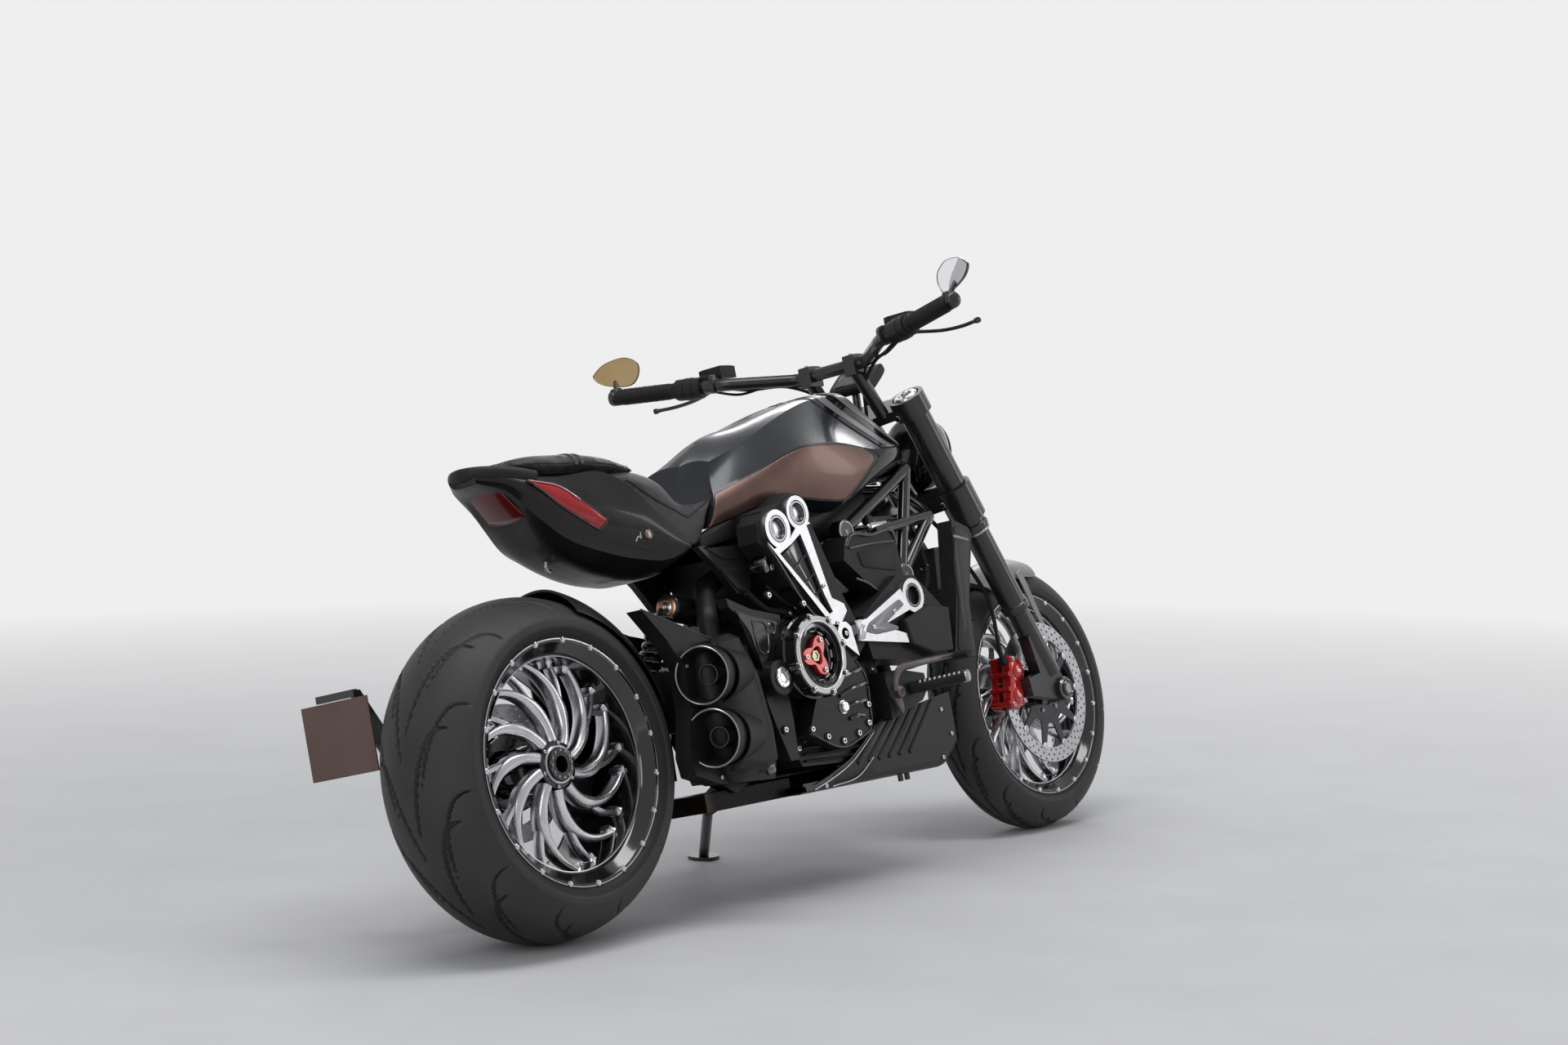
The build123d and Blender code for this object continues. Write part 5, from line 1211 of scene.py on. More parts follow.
def makeSeats():
    # both cushions, then seams, stitches and straps that follow the stuffed covers
    rider = makeCushion("riderSeat", riderLines, "rider_seat", 4.0)
    pillion = makeCushion("pillionSeat", pillionLines, "passenger_seat", 3.0)
    vee = [
        (296, -101, 848), (345, -110, 812), (400, -116, 782), (446, -116, 764), (484, -112, 782),
        (520, -104, 822), (562, -92, 868)]
    brow = [(345, -70, 860), (352, 0, 862), (345, 70, 860)]
    pipes, threads = seamAndStitches(rider, [vee, np.array(vee) * flip, brow])
    around = [(60, -76, 894), (130, -86, 890), (220, -91, 887), (300, -88, 877), (340, -70, 868)]
    more, thin = seamAndStitches(pillion, [around, np.array(around) * flip])
    putPiece("seatSeams", pipes + more, "seatPiping")
    putPiece("seatStitches", threads + thin, "threadGrey")
    straps = []
    for x in (176, 192):
        band = onCover(
            pillion,
            [
                (x - 3, -95, 880), (x, -86, 892), (x + 2, -50, 905), (x + 3, 0, 907), (x + 2, 50, 905),
                (x, 86, 892), (x - 3, 95, 880)],
            60, 1.0)
        straps.append(sweepShape(band, 5.2, 1.6, 12))
    putPiece("pillionStrap", straps, "seatLeather")


makeTail()
makeSeats()
print("tail and seats made")


def ringOf(shape, centre, radius, count, first=0.0):
    # copies of a shape about a point in the side view: centre + radius (cos, 0, sin)
    a = np.radians(first + np.arange(count) * 360 / count)
    places = np.array(centre, float) + radius * np.stack([np.cos(a), 0 * a, np.sin(a)], axis=1)
    return repeated(shape, places)


def circleOutline(x, z, radius, count=40, lobes=0, swell=0.0, first=90):
    # radius + swell * cos(lobes (a - first)) about a point
    a = np.linspace(0, 2 * np.pi, count, endpoint=False)
    r = radius + swell * np.cos(lobes * (a - np.radians(first)))
    return np.stack([x + r * np.cos(a), z + r * np.sin(a)], axis=1)


# the clutch's axis in the side view
clutch = {"x": 636, "z": 452}


def makeClutch():
    # rings, ears, basket and the red plate, all turned or set out about the clutch's axis
    x, z = clutch["x"], clutch["z"]
    centre = (x, 0, z)
    ring = turnShape(
        [
            (65, -206), (65, -225.6), (68, -227.5), (78, -227.5), (80.6, -225), (80.6, -200), (84, -197),
            (84, -188)],
        centre, segments=90)
    putPiece("clutchRing", ring, "glossBlack")
    bright = turnShape([(66.4, -226.6), (67.2, -228.1), (68.6, -228.1), (69, -227)], centre, segments=90)
    putPiece("clutchRingEdge", bright, "machinedAlloy")
    ears = ringOf(
        turnShape([(0, -228.6), (7, -228.6), (9, -226), (9, -204)], (0, 0, 0), segments=24), (x, 0, z), 78,
        8, 12)
    putPiece("clutchRingEars", ears, "glossBlack")
    putPiece("clutchRingBolts", ringOf(boltShape(4.4, 4.5), (x, -228.4, z), 78, 8, 12), "boltSteel")
    basket = [turnShape(
        [(62, -192), (62, -207), (58, -209), (50, -209), (48, -206), (48, -200)], centre, segments=72)]
    basket += [ringOf(
        turnShape([(0, -211), (5, -211), (5.6, -209.5), (5.6, -202)], (0, 0, 0), segments=16), (x, 0, z), 55,
        10, 0)]
    putPiece("clutchBasket", basket, "blackChrome")
    # slotted shroud: bars between the basket and the window
    bars = []
    for k in range(12):
        a = np.radians(k * 30 + np.linspace(-9, 9, 8))
        arc = np.stack([x + 50 * np.cos(a), np.full(8, -211.5), z + 50 * np.sin(a)], axis=1)
        bars.append(sweepShape(arc, 2.6, 3.6, 8, (0, 1, 0)))
    putPiece("clutchSlots", bars, "boltSteel")
    # red plate: a rounded three-lobed frame with a bore, steel screws and a centre nut
    outer = circleOutline(x, z, 33, 72, 3, 12, 60)
    inner = circleOutline(x, z, 17, 72, 3, 2.0, 60)
    stack = []
    for flat, y in (
        (inner, -205.0), (outer, -205.0), (outer, -213.4), (outer * 0.965 + np.array([x, z]) * 0.035, -216),
        (inner * 1.06 - np.array([x, z]) * 0.06, -216), (inner, -214), (inner, -205),
    ):
        stack.append(np.stack([flat[:, 0], np.full(72, y), flat[:, 1]], axis=1))
    putPiece(
        "clutchPlate", gridShape(np.array(stack), closed=True), "redAnodised", replaces=("clutch_plate",))
    putPiece("clutchPlateScrews", ringOf(boltShape(5.4, 5.0), (x, -215.6, z), 35, 3, 60), "boltSteel")
    nut = turnShape(
        [(0, -211), (7, -211), (8, -213), (12, -213), (13.5, -210), (15, -208), (15, -203)], centre,
        segments=6)
    putPiece("clutchNut", nut, "brassTone")
    window = turnShape([(65.6, -221), (57, -222), (56, -223), (55, -222), (54.4, -212)], centre, segments=72)
    putPiece("clutchInnerRing", window, "glossBlack")


def makeCase():
    # ribs, edges and screws of the right-hand case below the clutch
    ribs = []
    for start, end in (
        ((706, 392), (800, 415)), ((716, 366), (806, 384)), ((724, 340), (800, 350)),
        ((736, 318), (784, 320)),
    ):
        line = [
            (start[0], -190.5, start[1]), ((start[0] + end[0]) / 2, -195, (start[1] + end[1]) / 2 + 3),
            (end[0], -190.5, end[1])]
        ribs.append(sweepShape(curve(line, 16), 4.6, 4.2, 10, power=0.8))
    putPiece("caseRibs", ribs, "glossBlack")
    tips = []
    for x, z in ((797, 412), (803, 383), (796, 350), (778, 322)):
        tips.append(sweepShape(
            curve([(x - 26, -194.6, z - 4), (x, -193, z - 1), (x + 8, -186, z - 2)], 8), 3.4, 1.6, 8))
    putPiece("caseRibTips", tips, "brightAlloy")
    rim = [(604, 304), (640, 285), (700, 264), (760, 276), (800, 292), (812, 345), (812, 400), (790, 432)]
    edge = [(x, -190, z) for x, z in rim]
    putPiece("caseEdge", sweepShape(curve(edge, 50), 3.0, 2.2, 8), "blackChrome")
    spots = [
        (610, -190, 310), (655, -190, 290), (704, -190, 276), (757, -190, 286), (795, -190, 303),
        (804, -190, 340), (542, -177, 318), (591, -150, 318), (606, -150, 277), (566, -176, 586),
        (650, -192, 560), (588, -178, 640)]
    putPiece("caseScrews", repeated(boltShape(6, 5), spots), "boltSteel")
    bosses = repeated(turnShape([(0, -3), (8, -3), (9, -1), (9, 4)], (0, 0, 0), segments=24), spots)
    putPiece("caseBosses", bosses, "castBlack")
    plug = turnShape(
        [(0, -10), (9, -10), (11, -8), (11, -3), (14, -3), (14, 2)], (723, -188, 343), segments=30)
    putPiece("casePlug", plug, "boltSteel")
    # stacked dark ridges of the lower block, and the oil pipe in front of it
    ridges = []
    for z in range(250, 303, 13):
        ridges.append(sweepShape(
            curve([(622, -150.5, z), (730, -152.5, z - 4), (850, -150.5, z - 2)], 16), 3.0, 2.6, 8))
    putPiece("sumpRidges", ridges, "castBlack")
    hoses = [
        tubeShape([(560, -128, 600), (600, -140, 560), (648, -150, 548), (690, -150, 520)], 7, 40, 12),
        tubeShape(
            [(620, -132, 610), (640, -146, 580), (670, -150, 560), (720, -146, 560), (760, -140, 590)], 5,
            40, 12),
        tubeShape(
            [(870, -120, 470), (880, -140, 430), (905, -148, 380), (930, -140, 330), (960, -120, 300)], 9,
            40, 12),
        tubeShape([(1010, -110, 640), (1030, -128, 610), (1064, -134, 590), (1090, -120, 560)], 6, 40, 12),
        tubeShape([(1150, -120, 700), (1168, -130, 640), (1160, -136, 580), (1130, -130, 540)], 7, 40, 12),
    ]
    putPiece("engineHoses", hoses, "gripRubber")
    clips = []
    for x, y, z in (
        (648, -150, 548), (890, -145, 410), (670, -150, 560), (1064, -134, 590), (1164, -133, 610),
    ):
        clips.append(turnShape(
            [(8, -4), (9.6, -4), (9.6, 4), (8, 4)], (x, y, z), (1, 0, -0.5), 20, looped=True))
    putPiece("hoseClips", clips, "boltSteel")


def makeBeltCovers():
    # inserts in the ring bores, a dark web in the arms, ribs and screws
    inserts, cores = [], []
    for x, z, bore in ((608, 714, 28), (680, 743, 26), (1017, 549, 26)):
        inserts.append(turnShape(
            [
                (bore - 0.4, -184), (bore - 0.4, -196.4), (bore - 2, -198.4), (bore - 6, -198.4),
                (bore - 8, -192), (bore - 8, -186)],
            (x, 0, z), segments=60))
        core = [
            (bore - 8, -186), (bore - 9, -189), (bore - 14, -191.5),
            (0, -193)] if x < 900 else [(bore - 8, -187), (0, -186)]
        cores.append((turnShape(core, (x, 0, z), segments=60), "brightAlloy" if x < 900 else "castBlack"))
    putPiece("coverInserts", inserts, "blackChrome")
    putPiece("coverCores", [c for c, f in cores if f == "brightAlloy"], "brightAlloy")
    putPiece("coverCoreDark", [c for c, f in cores if f == "castBlack"], "castBlack")
    web = [(606, 655), (640, 672), (672, 692), (712, 575), (730, 538), (722, 534)]
    putPiece("coverWeb", plateShape(web, -188, -183, 1.2, 5), "glossBlack")
    bars = []
    for t in (0.25, 0.5, 0.72):
        a = np.array([606 + (722 - 606) * t, -188.5, 655 + (534 - 655) * t])
        b = np.array([676 + (736 - 676) * t, -188.5, 695 + (540 - 695) * t])
        bars.append(sweepShape(curve([a, (a + b) / 2, b], 8), 2.4, 3.2, 8))
    putPiece("coverBars", bars, "satinFrame")
    inlay = [(846, 503), (964, 545), (978, 532), (908, 500), (944, 489), (944, 482), (868, 478), (832, 486)]
    putPiece("frontArmInlay", plateShape(inlay, -199.2, -197, 0.8, 6), "bandGrey")
    lipLine = [(566, 690), (724, 512), (752, 506)]
    side = sweepShape(curve([(x + 3, -194, z - 6) for x, z in lipLine], 24), 3.0, 3.0, 8)
    putPiece("coverLip", side, "blackChrome")
    screws = [(744, -198, 512), (720, -198, 590), (860, -198, 494), (940, -198, 520), (764, -198, 489)]
    putPiece("coverScrews", repeated(boltShape(5, 3.4), screws), "boltSteel")
    spur = [
        (800, 512), (826, 514), (820, 504), (834, 500), (822, 492), (834, 484), (826, 472), (802, 470),
        (810, 490)]
    putPiece("coverSpur", plateShape(spur, -198.6, -190, 1.0, 2), "machinedAlloy")
    lugs = [plateShape([(556, 650), (572, 668), (576, 634), (560, 628)], -186, -150, 2, 5),
            plateShape([(630, 640), (650, 610), (668, 586), (652, 578), (632, 600)], -184, -150, 2, 5)]
    putPiece("coverLugs", lugs, "blackChrome")


def makePivot():
    # bright pivot bolt in its dark boss, and the plate's groove and hole
    for side in (-1, 1):
        y = -202 if side < 0 else 195
        boss = turnShape(
            np.array([(20, 4), (20, 0), (33, 0), (35, -2), (35, -30)]) * (1, side), (533, y, 420),
            segments=60)
        end = "Right" if side < 0 else "Left"
        putPiece("pivotBoss" + end, boss, "castBlack")
        bolt = np.array([
            (0, 3.0), (9, 3.0), (10.5, 1.2), (12, 1.2), (13, 4.6), (19, 4.6), (20.5, 3.0),
            (20.5, -4)]) * (1, side)
        putPiece("pivotBolt" + end, turnShape(bolt, (533, y, 420)), "brightAlloy")
        flute = turnShape(
            np.array([(0, 5.4), (1.6, 5.4), (2.2, 4.2), (2.2, 2)]) * (1, side), (0, 0, 0), segments=10)
        putPiece("pivotFlutes" + end, ringOf(flute, (533, y, 420), 16, 10, 0), "boltSteel")
    groove = [
        (450, 566), (506, 548), (580, 532), (577, 496), (544, 476), (520, 452), (512, 410), (504, 452),
        (486, 520)]
    face = plateShape(groove, -178.5, -175, 1.5, 10)
    putPiece("pivotPlateFace", face, "satinFrame")
    tri = [(500, 540), (536, 532), (522, 470), (514, 474)]
    trim = np.array([(x, -179.2, z) for x, z in [*tri, tri[0]]])
    putPiece("pivotPlateGroove", sweepShape(curve(trim, 60), 1.6, 1.3, 8, (0, 1, 0)), "blackChrome")
    hole = turnShape(
        [(9, -176), (9, -180), (11.5, -180.6), (13, -179), (13, -176)], (556, 0, 520), segments=30)
    putPiece("pivotPlateHole", hole, "blackChrome")


def makePan():
    # the pan is a U-shaped section run along x, its wall's top and low lines read from the photo's edges
    x = np.linspace(596, 1130, 60)
    top = np.interp(
        x, [596, 621, 678, 753, 803, 862, 900, 1028, 1130], [194, 199, 213, 237, 263, 298, 306, 326, 338])
    low = np.interp(x, [596, 640, 1080, 1130], [186, 186, 186, 222])
    side = [(-160, 1.0, 0), (-160.6, 0.5, 0), (-159, 0, 14), (-152, 0, 4), (-138, 0, 0), (-60, 0, 3)]
    outer = side + [(-y, share, lift) for y, share, lift in side[::-1]]
    section = np.array(outer + [
        (y * 0.965, share, lift + 6 * (share < 0.4)) for y, share, lift in outer[::-1]])
    rows = np.stack([np.repeat(x[:, None], len(section), axis=1), np.repeat(section[None, :, 0], 60, axis=0),
                     low[:, None] + (top - low)[:, None] * section[:, 1] + section[:, 2]], axis=2)
    putPiece("panShell", gridShape(rows, closed=True, caps=True), "matteBody", replaces=("belly_pan",))
    # louvres with lit edges, two fold lines and small fixings
    slots, edges = [], []
    for k in range(6):
        top = np.array([880 + 37 * k, 0, 303 + 5 * k])
        low = np.array([775 + 36 * k, 0, 226 + 0.5 * k])
        for off, group, wide in ((0, slots, 5.0), (6, edges, 1.2)):
            a, b = top + (off, -161.5, 0), low + (off, -161.5, 0)
            group.append(sweepShape(curve([a, (a + b) / 2, b], 14), wide, 1.6, 8, (0, 1, 0)))
    putPiece("panLouvres", slots, "grainPlastic", both=True)
    putPiece("panLouvreEdges", edges, "blackChrome", both=True)
    folds = [
        sweepShape(curve([(x + off, -161, z) for x, z in line], 40), 2.0, 1.3, 8, (0, 1, 0))
        for off, line in (
            (0, [(621, 190), (678, 204), (753, 229), (803, 256), (858, 290)]),
            (30, [(650, 190), (740, 200), (800, 232)]),
        )
    ]
    putPiece("panFolds", folds, "blackChrome", both=True)
    spots = [(1090, -160, 304), (660, -160, 194), (1068, -160, 204), (1112, -160, 250)]
    putPiece("panScrews", repeated(boltShape(4.5, 3.5), spots), "boltSteel", both=True)
    studsLow = repeated(
        turnShape([(0, -12), (5, -12), (6, -10), (6, 4)], (0, 0, 0), (0, 0, 1), 16),
        [(935, -140, 184), (985, -120, 184)])
    putPiece("panFeet", studsLow, "satinFrame")


def makeExhaust():
    # splayed outlet cones: rolled lip, bore, bright rim and the inner pipe
    tilt = np.radians(14)
    inward = (np.cos(tilt), np.sin(tilt), 0)
    shells, lips, pipes = [], [], []
    for z in (445, 324):
        centre = np.array([294, -201, z + 2])
        cone = [
            (47, 96), (52, 50), (56.4, 12), (57.2, 3), (56.6, 0), (55, -1.2), (53, 0), (51.5, 4), (50, 24),
            (38, 62), (21, 66)]
        shells.append(turnShape(cone, centre, inward, 96))
        lips.append(turnShape(
            [(56.9, 1.4), (57.1, -0.6), (55.4, -2.0), (53.4, -0.8), (53.2, 0.8)], centre, inward, 96,
            looped=True))
        pipes.append(turnShape(
            [(21.5, 70), (21.5, 30), (20.5, 28.6), (18.4, 28.6), (17.4, 30), (17.4, 90)], centre, inward,
            60))
    putPiece("outletCones", shells, "exhaustBlack")
    putPiece("outletLips", lips, "plainSteel")
    putPiece("outletPipes", pipes, "rimDark")
    # dark discs close the inner pipes 60 mm in: painted shade in the bores
    dark = [turnShape([(17.4, 60), (0, 60)], (294, -201, z + 2), inward, 40) for z in (445, 324)]
    putPiece("outletDepths", dark, "exhaustBlack")
    # a soft housing behind both outlets
    edge = [(196, 588), (330, 536), (437, 492), (474, 467), (496, 348), (512, 262)]
    line = curve([(x, -165, z) for x, z in edge], 70)
    putPiece("mufflerSeam", sweepShape(line, 2.2, 2.0, 8, (0, 1, 0)), "satinFrame")
    body = np.array([
        (388, -160, 516), (390, -160, 504), (394, -164, 446), (398, -166, 385), (404, -166, 320),
        (412, -161, 256), (414, -160, 244)])
    housing = sweepShape(
        body, np.array([44, 62, 76, 78, 74, 62, 44]), np.array([24, 38, 47, 49, 46, 36, 24]), 40, (0, 1, 0),
        0.75)
    putPiece("mufflerHousing", housing, "exhaustBlack")
    putPiece(
        "outletBracket", plateShape([(470, 268), (500, 262), (504, 240), (480, 236)], -170, -160, 2, 6),
        "blackChrome")
    screws = [(296, -166.5, 470), (480, -166.5, 330), (486, -166.5, 250), (340, -166.5, 250)]
    putPiece("mufflerScrews", repeated(boltShape(4.6, 3.0), screws), "boltSteel")


def makeFrameDetails():
    # three-spoked caps on the trellis bosses, the bright sensor on its rod, intake lips, cover reliefs
    caps, spokes = [], []
    for x, y, z in ((900, -140, 701), (1054, -160, 596)):
        rim = np.array([(18, -2), (19, 4.6), (22, 5.4), (25.4, 4.6), (26.4, -2)]) * (1, -1)
        caps.append(turnShape(rim, (x, y, z)))
        caps.append(turnShape(np.array([(0, 5), (5, 5), (6, 3), (6, 0)]) * (1, -1), (x, y, z), segments=20))
        middle = np.array([x, y - 2.2, z])
        for a in np.radians([90, 210, 330]):
            tip = middle + 20 * np.array([np.cos(a), 0, np.sin(a)])
            spokes.append(sweepShape(curve([middle, (middle + tip) / 2, tip], 6), 2.6, 2.0, 8, (0, 1, 0)))
    putPiece("trellisCaps", caps + spokes, "blackChrome", both=True)
    rod = sweepShape(
        curve([(940, -130, 709), (1010, -130, 709), (1120, -134, 714), (1200, -140, 719)], 20), 4.2, 4.2, 12)
    putPiece("thinRod", rod, "glossBlack")
    body = turnShape(
        [(0, -42), (7, -42), (9, -39), (12, -38), (12, 20), (9, 24), (9, 36), (6, 38), (6, 50), (0, 51)],
        (1028, -132, 708), (1, 0, 0.03), 36)
    putPiece("sensorBody", body, "brightAlloy")
    plug = plateShape([(986, 716), (1004, 716), (1004, 732), (986, 732)], -140, -124, 2, 3)
    putPiece("sensorPlug", plug, "grainPlastic")
    lip = sweepShape(
        curve(
            [(858, -168, 668), (868, -170, 684), (946, -170, 687), (1024, -170, 686), (1030, -168, 668)],
            50),
        4, 3, 10, (0, 1, 0))
    flat = sweepShape(
        curve([(866, -169, 664), (946, -170.5, 669), (1022, -169, 670)], 24), 3, 2.4, 10, (0, 1, 0))
    low = sweepShape(
        curve([(870, -169, 600), (900, -170, 590), (960, -169.5, 560), (1030, -169, 576)], 30), 3, 2.4, 10,
        (0, 1, 0))
    putPiece("intakeLips", [lip, flat, low], "satinFrame", both=True)
    relief = plateShape([(890, 655), (1010, 660), (1016, 606), (900, 622)], -170.5, -168, 1.5, 8)
    putPiece("intakeRelief", relief, "grainPlastic", both=True)
    upper = plateShape([(462, 700), (556, 700), (640, 728), (596, 668), (520, 672)], -121, -117, 2.4, 10)
    lower = plateShape([(500, 658), (584, 650), (596, 640), (576, 604), (548, 606)], -121, -117, 2.4, 10)
    putPiece("sideCoverPanels", [upper, lower], "matteBody", both=True)
    front = plateShape(
        [(980, 508), (1050, 528), (1116, 514), (1108, 430), (1050, 434), (990, 468)], -132.5, -128, 3, 10)
    inner = plateShape(
        [(1062, 500), (1092, 502), (1106, 480), (1092, 462), (1062, 466), (1050, 484)], -135, -132, 2, 8)
    putPiece("frontHousingFace", [front, inner], "matteBody")
    strip = plateShape(
        [(1140, 420), (1198, 412), (1208, 520), (1256, 664), (1210, 690), (1182, 600), (1176, 524)], -199,
        -195.6, 1.8, 12)
    putPiece("shroudFaces", strip, "matteBody", both=True)
    accent = plateShape([(1196, 662), (1250, 650), (1252, 656), (1198, 668)], -199.6, -198.6, 0.3, 1)
    putPiece("shroudAccents", accent, "bandGrey", both=True)


def makeFins():
    # cooling fins round both cylinders: rounded loops square to each bore
    loops = []
    for angle in (114, 22):
        c, s = np.cos(np.radians(angle)), np.sin(np.radians(angle))
        for k in range(9):
            along = 92 + k * 10.5
            a = np.linspace(0, 2 * np.pi, 48, endpoint=False)
            across = 70 * np.sign(np.cos(a)) * np.abs(np.cos(a)) ** 0.35
            y = 83 * np.sign(np.sin(a)) * np.abs(np.sin(a)) ** 0.35
            rows = []
            for reach, lift in ((0.96, -1.6), (1.0, -1.3), (1.0, 1.3), (0.96, 1.6)):
                d = along + lift
                rows.append(np.stack(
                    [785 + d * c - reach * across * s, reach * y, 432 + d * s + reach * across * c], axis=1))
            loops.append(gridShape(np.array(rows), closed=True))
    putPiece("cylinderFins", loops, "castBlack")
    heads = []
    for angle in (114, 22):
        c, s = np.cos(np.radians(angle)), np.sin(np.radians(angle))
        for side in (-1, 1):
            centre = (785 + 270 * c, side * 100, 432 + 270 * s)
            heads.append(turnShape(
                np.array([(0, 4), (30, 4), (34, 2), (35, 0), (44, 0), (46, -3)]) * (1, side), centre))
            heads.append(ringOf(boltShape(4, 4, (0, side, 0)), centre, 39, 6, 15))
    putPiece("headCovers", heads, "castBlack")


def makeShock():
    # reservoir with a copper ring and valve, the coil round the damper
    axis = np.array([416 - 580, -40 + 10, 596 - 570.0])
    axis /= np.linalg.norm(axis)
    end = np.array([416, -40, 596.0])
    cap = turnShape([(26.4, -60), (27, -2), (25, 1), (22, 1.5)], end, axis, 48)
    putPiece("reservoirShell", cap, "satinFrame")
    putPiece(
        "reservoirRing", turnShape([(22, 0), (22, 3), (19, 4.5), (12, 4.5), (11, 1.5)], end, axis, 48),
        "copperBright")
    putPiece(
        "reservoirValve", turnShape([(11, 1), (9, 2), (5, 2.4), (4.6, 9), (3, 10), (0, 10)], end, axis, 30),
        "brightAlloy")
    low, high = np.array([365, 0, 462.0]), np.array([424, -30, 590.0])
    t = np.linspace(0, 1, 260)
    run = high - low
    u = np.cross(run, (0, 1, 0))
    u /= np.linalg.norm(u)
    v = np.cross(run, u)
    v /= np.linalg.norm(v)
    a = 2 * np.pi * 6.5 * t
    coil = low + run * (0.08 + 0.84 * t[:, None]) + 25 * (np.cos(a)[:, None] * u + np.sin(a)[:, None] * v)
    putPiece("shockSpring", sweepShape(coil, 4.4, 4.4, 10), "glossBlack")


makeClutch()
makeCase()
makeBeltCovers()
makePivot()
makePan()
makeExhaust()
makeFrameDetails()
makeFins()
makeShock()
print("engine details made")


def blockShape(centre, along, half, wide, deep, up=(0, 0, 1), power=0.35):
    # a soft-edged box: a squared ring swept straight, drawn in a little at both ends
    centre, along = np.array(centre, float), np.array(along, float)
    along /= np.linalg.norm(along)
    t = np.array([-1, -0.98, -0.9, 0.9, 0.98, 1.0])
    scale = np.array([0.86, 0.96, 1, 1, 0.96, 0.86])
    return sweepShape(centre + t[:, None] * half * along, wide * scale, deep * scale, 28, up, power)


def closedCurve(points, count):
    # the smooth curve through a ring of points
    points = np.asarray(points, float)
    n = len(points)
    wrapped = np.concatenate([points[-2:], points, points[:3]])
    return through(
        np.column_stack([np.arange(-2, n + 3), wrapped]), np.linspace(0, n, count, endpoint=False))


def makeFork():
    # caps, collars and seals turned about the legs, clamp bolts behind them, lines beside them
    tilt = np.array([-front["rake"], 0, 1.0])
    caps, collars, knobs, seals, bolts = [], [], [], [], []
    edges = []
    for side in (-1, 1):
        edges.append(turnShape(
            [(33, 3), (34.4, 1.6), (34.4, -1.6), (33, -3)], (legX(681), side * front["spread"], 681), tilt,
            60))
        top = (legX(985), side * front["spread"], 985)
        caps.append(turnShape(
            [(0, 7), (8, 7), (9, 5), (15, 5), (17, 9), (24, 9), (27, 6), (28.5, 0)], top, tilt, 60))
        knobs.append(turnShape([(9, 4), (9, 12), (7.5, 14), (4, 14), (3.5, 12), (0, 12)], top, tilt, 6))
        collars.append(turnShape(
            [(28.5, 1.5), (31, 1.5), (33.4, -1), (33.4, -16), (32.2, -18)], top, tilt, 60))
        for z, r in ((690, 32.2), (500, 29.2)):
            at = (legX(z), side * front["spread"], z)
            seals.append(turnShape(
                [(r, 12), (r + 3.0, 9), (r + 3.6, 0), (r + 2.2, -7), (r - 3.4, -11), (r - 4, -11)], at, tilt,
                60))
        for z in (764, 716, 962):
            at = (legX(z) - 31.68, side * (front["spread"] - 18), z - 18)
            bolts.append(turnShape(
                [(0, 1), (4, 1), (4.4, 5.5), (7, 5.5), (7.6, 4.5), (7.6, -6)], at, (-0.88, 0, -0.48), 24))
    putPiece("forkEdges", edges, "plainSteel", "steering")
    putPiece("forkCaps", caps, "brightAlloy", "steering")
    putPiece("forkKnobs", knobs, "boltSteel", "steering")
    putPiece("forkCollars", collars, "glossBlack", "steering")
    putPiece("forkSeals", seals, "satinFrame", "steering")
    putPiece("clampBolts", bolts, "boltSteel", "steering")
    lines = []
    for side in (-1, 1):
        for low, high in ((505, 686), (775, 930)):
            path = [(legX(z) - 22.5, side * (front["spread"] + 20.5), z) for z in np.linspace(low, high, 8)]
            lines.append(sweepShape(np.array(path), 0.8, 0.8, 6))
    putPiece("forkLines", lines, "satinFrame", "steering")
    nuts = []
    for side in (-1, 1):
        at = (front["leg"], side * 142, front["axle"])
        profile = np.array([
            (12, -3), (12, 1), (14, 3), (17, 3), (19, 1), (19, -3), (24, -4), (26, -7)]) * (1, side)
        nuts.append(turnShape(profile, at))
    putPiece("axleNuts", nuts, "blackChrome", "steering")


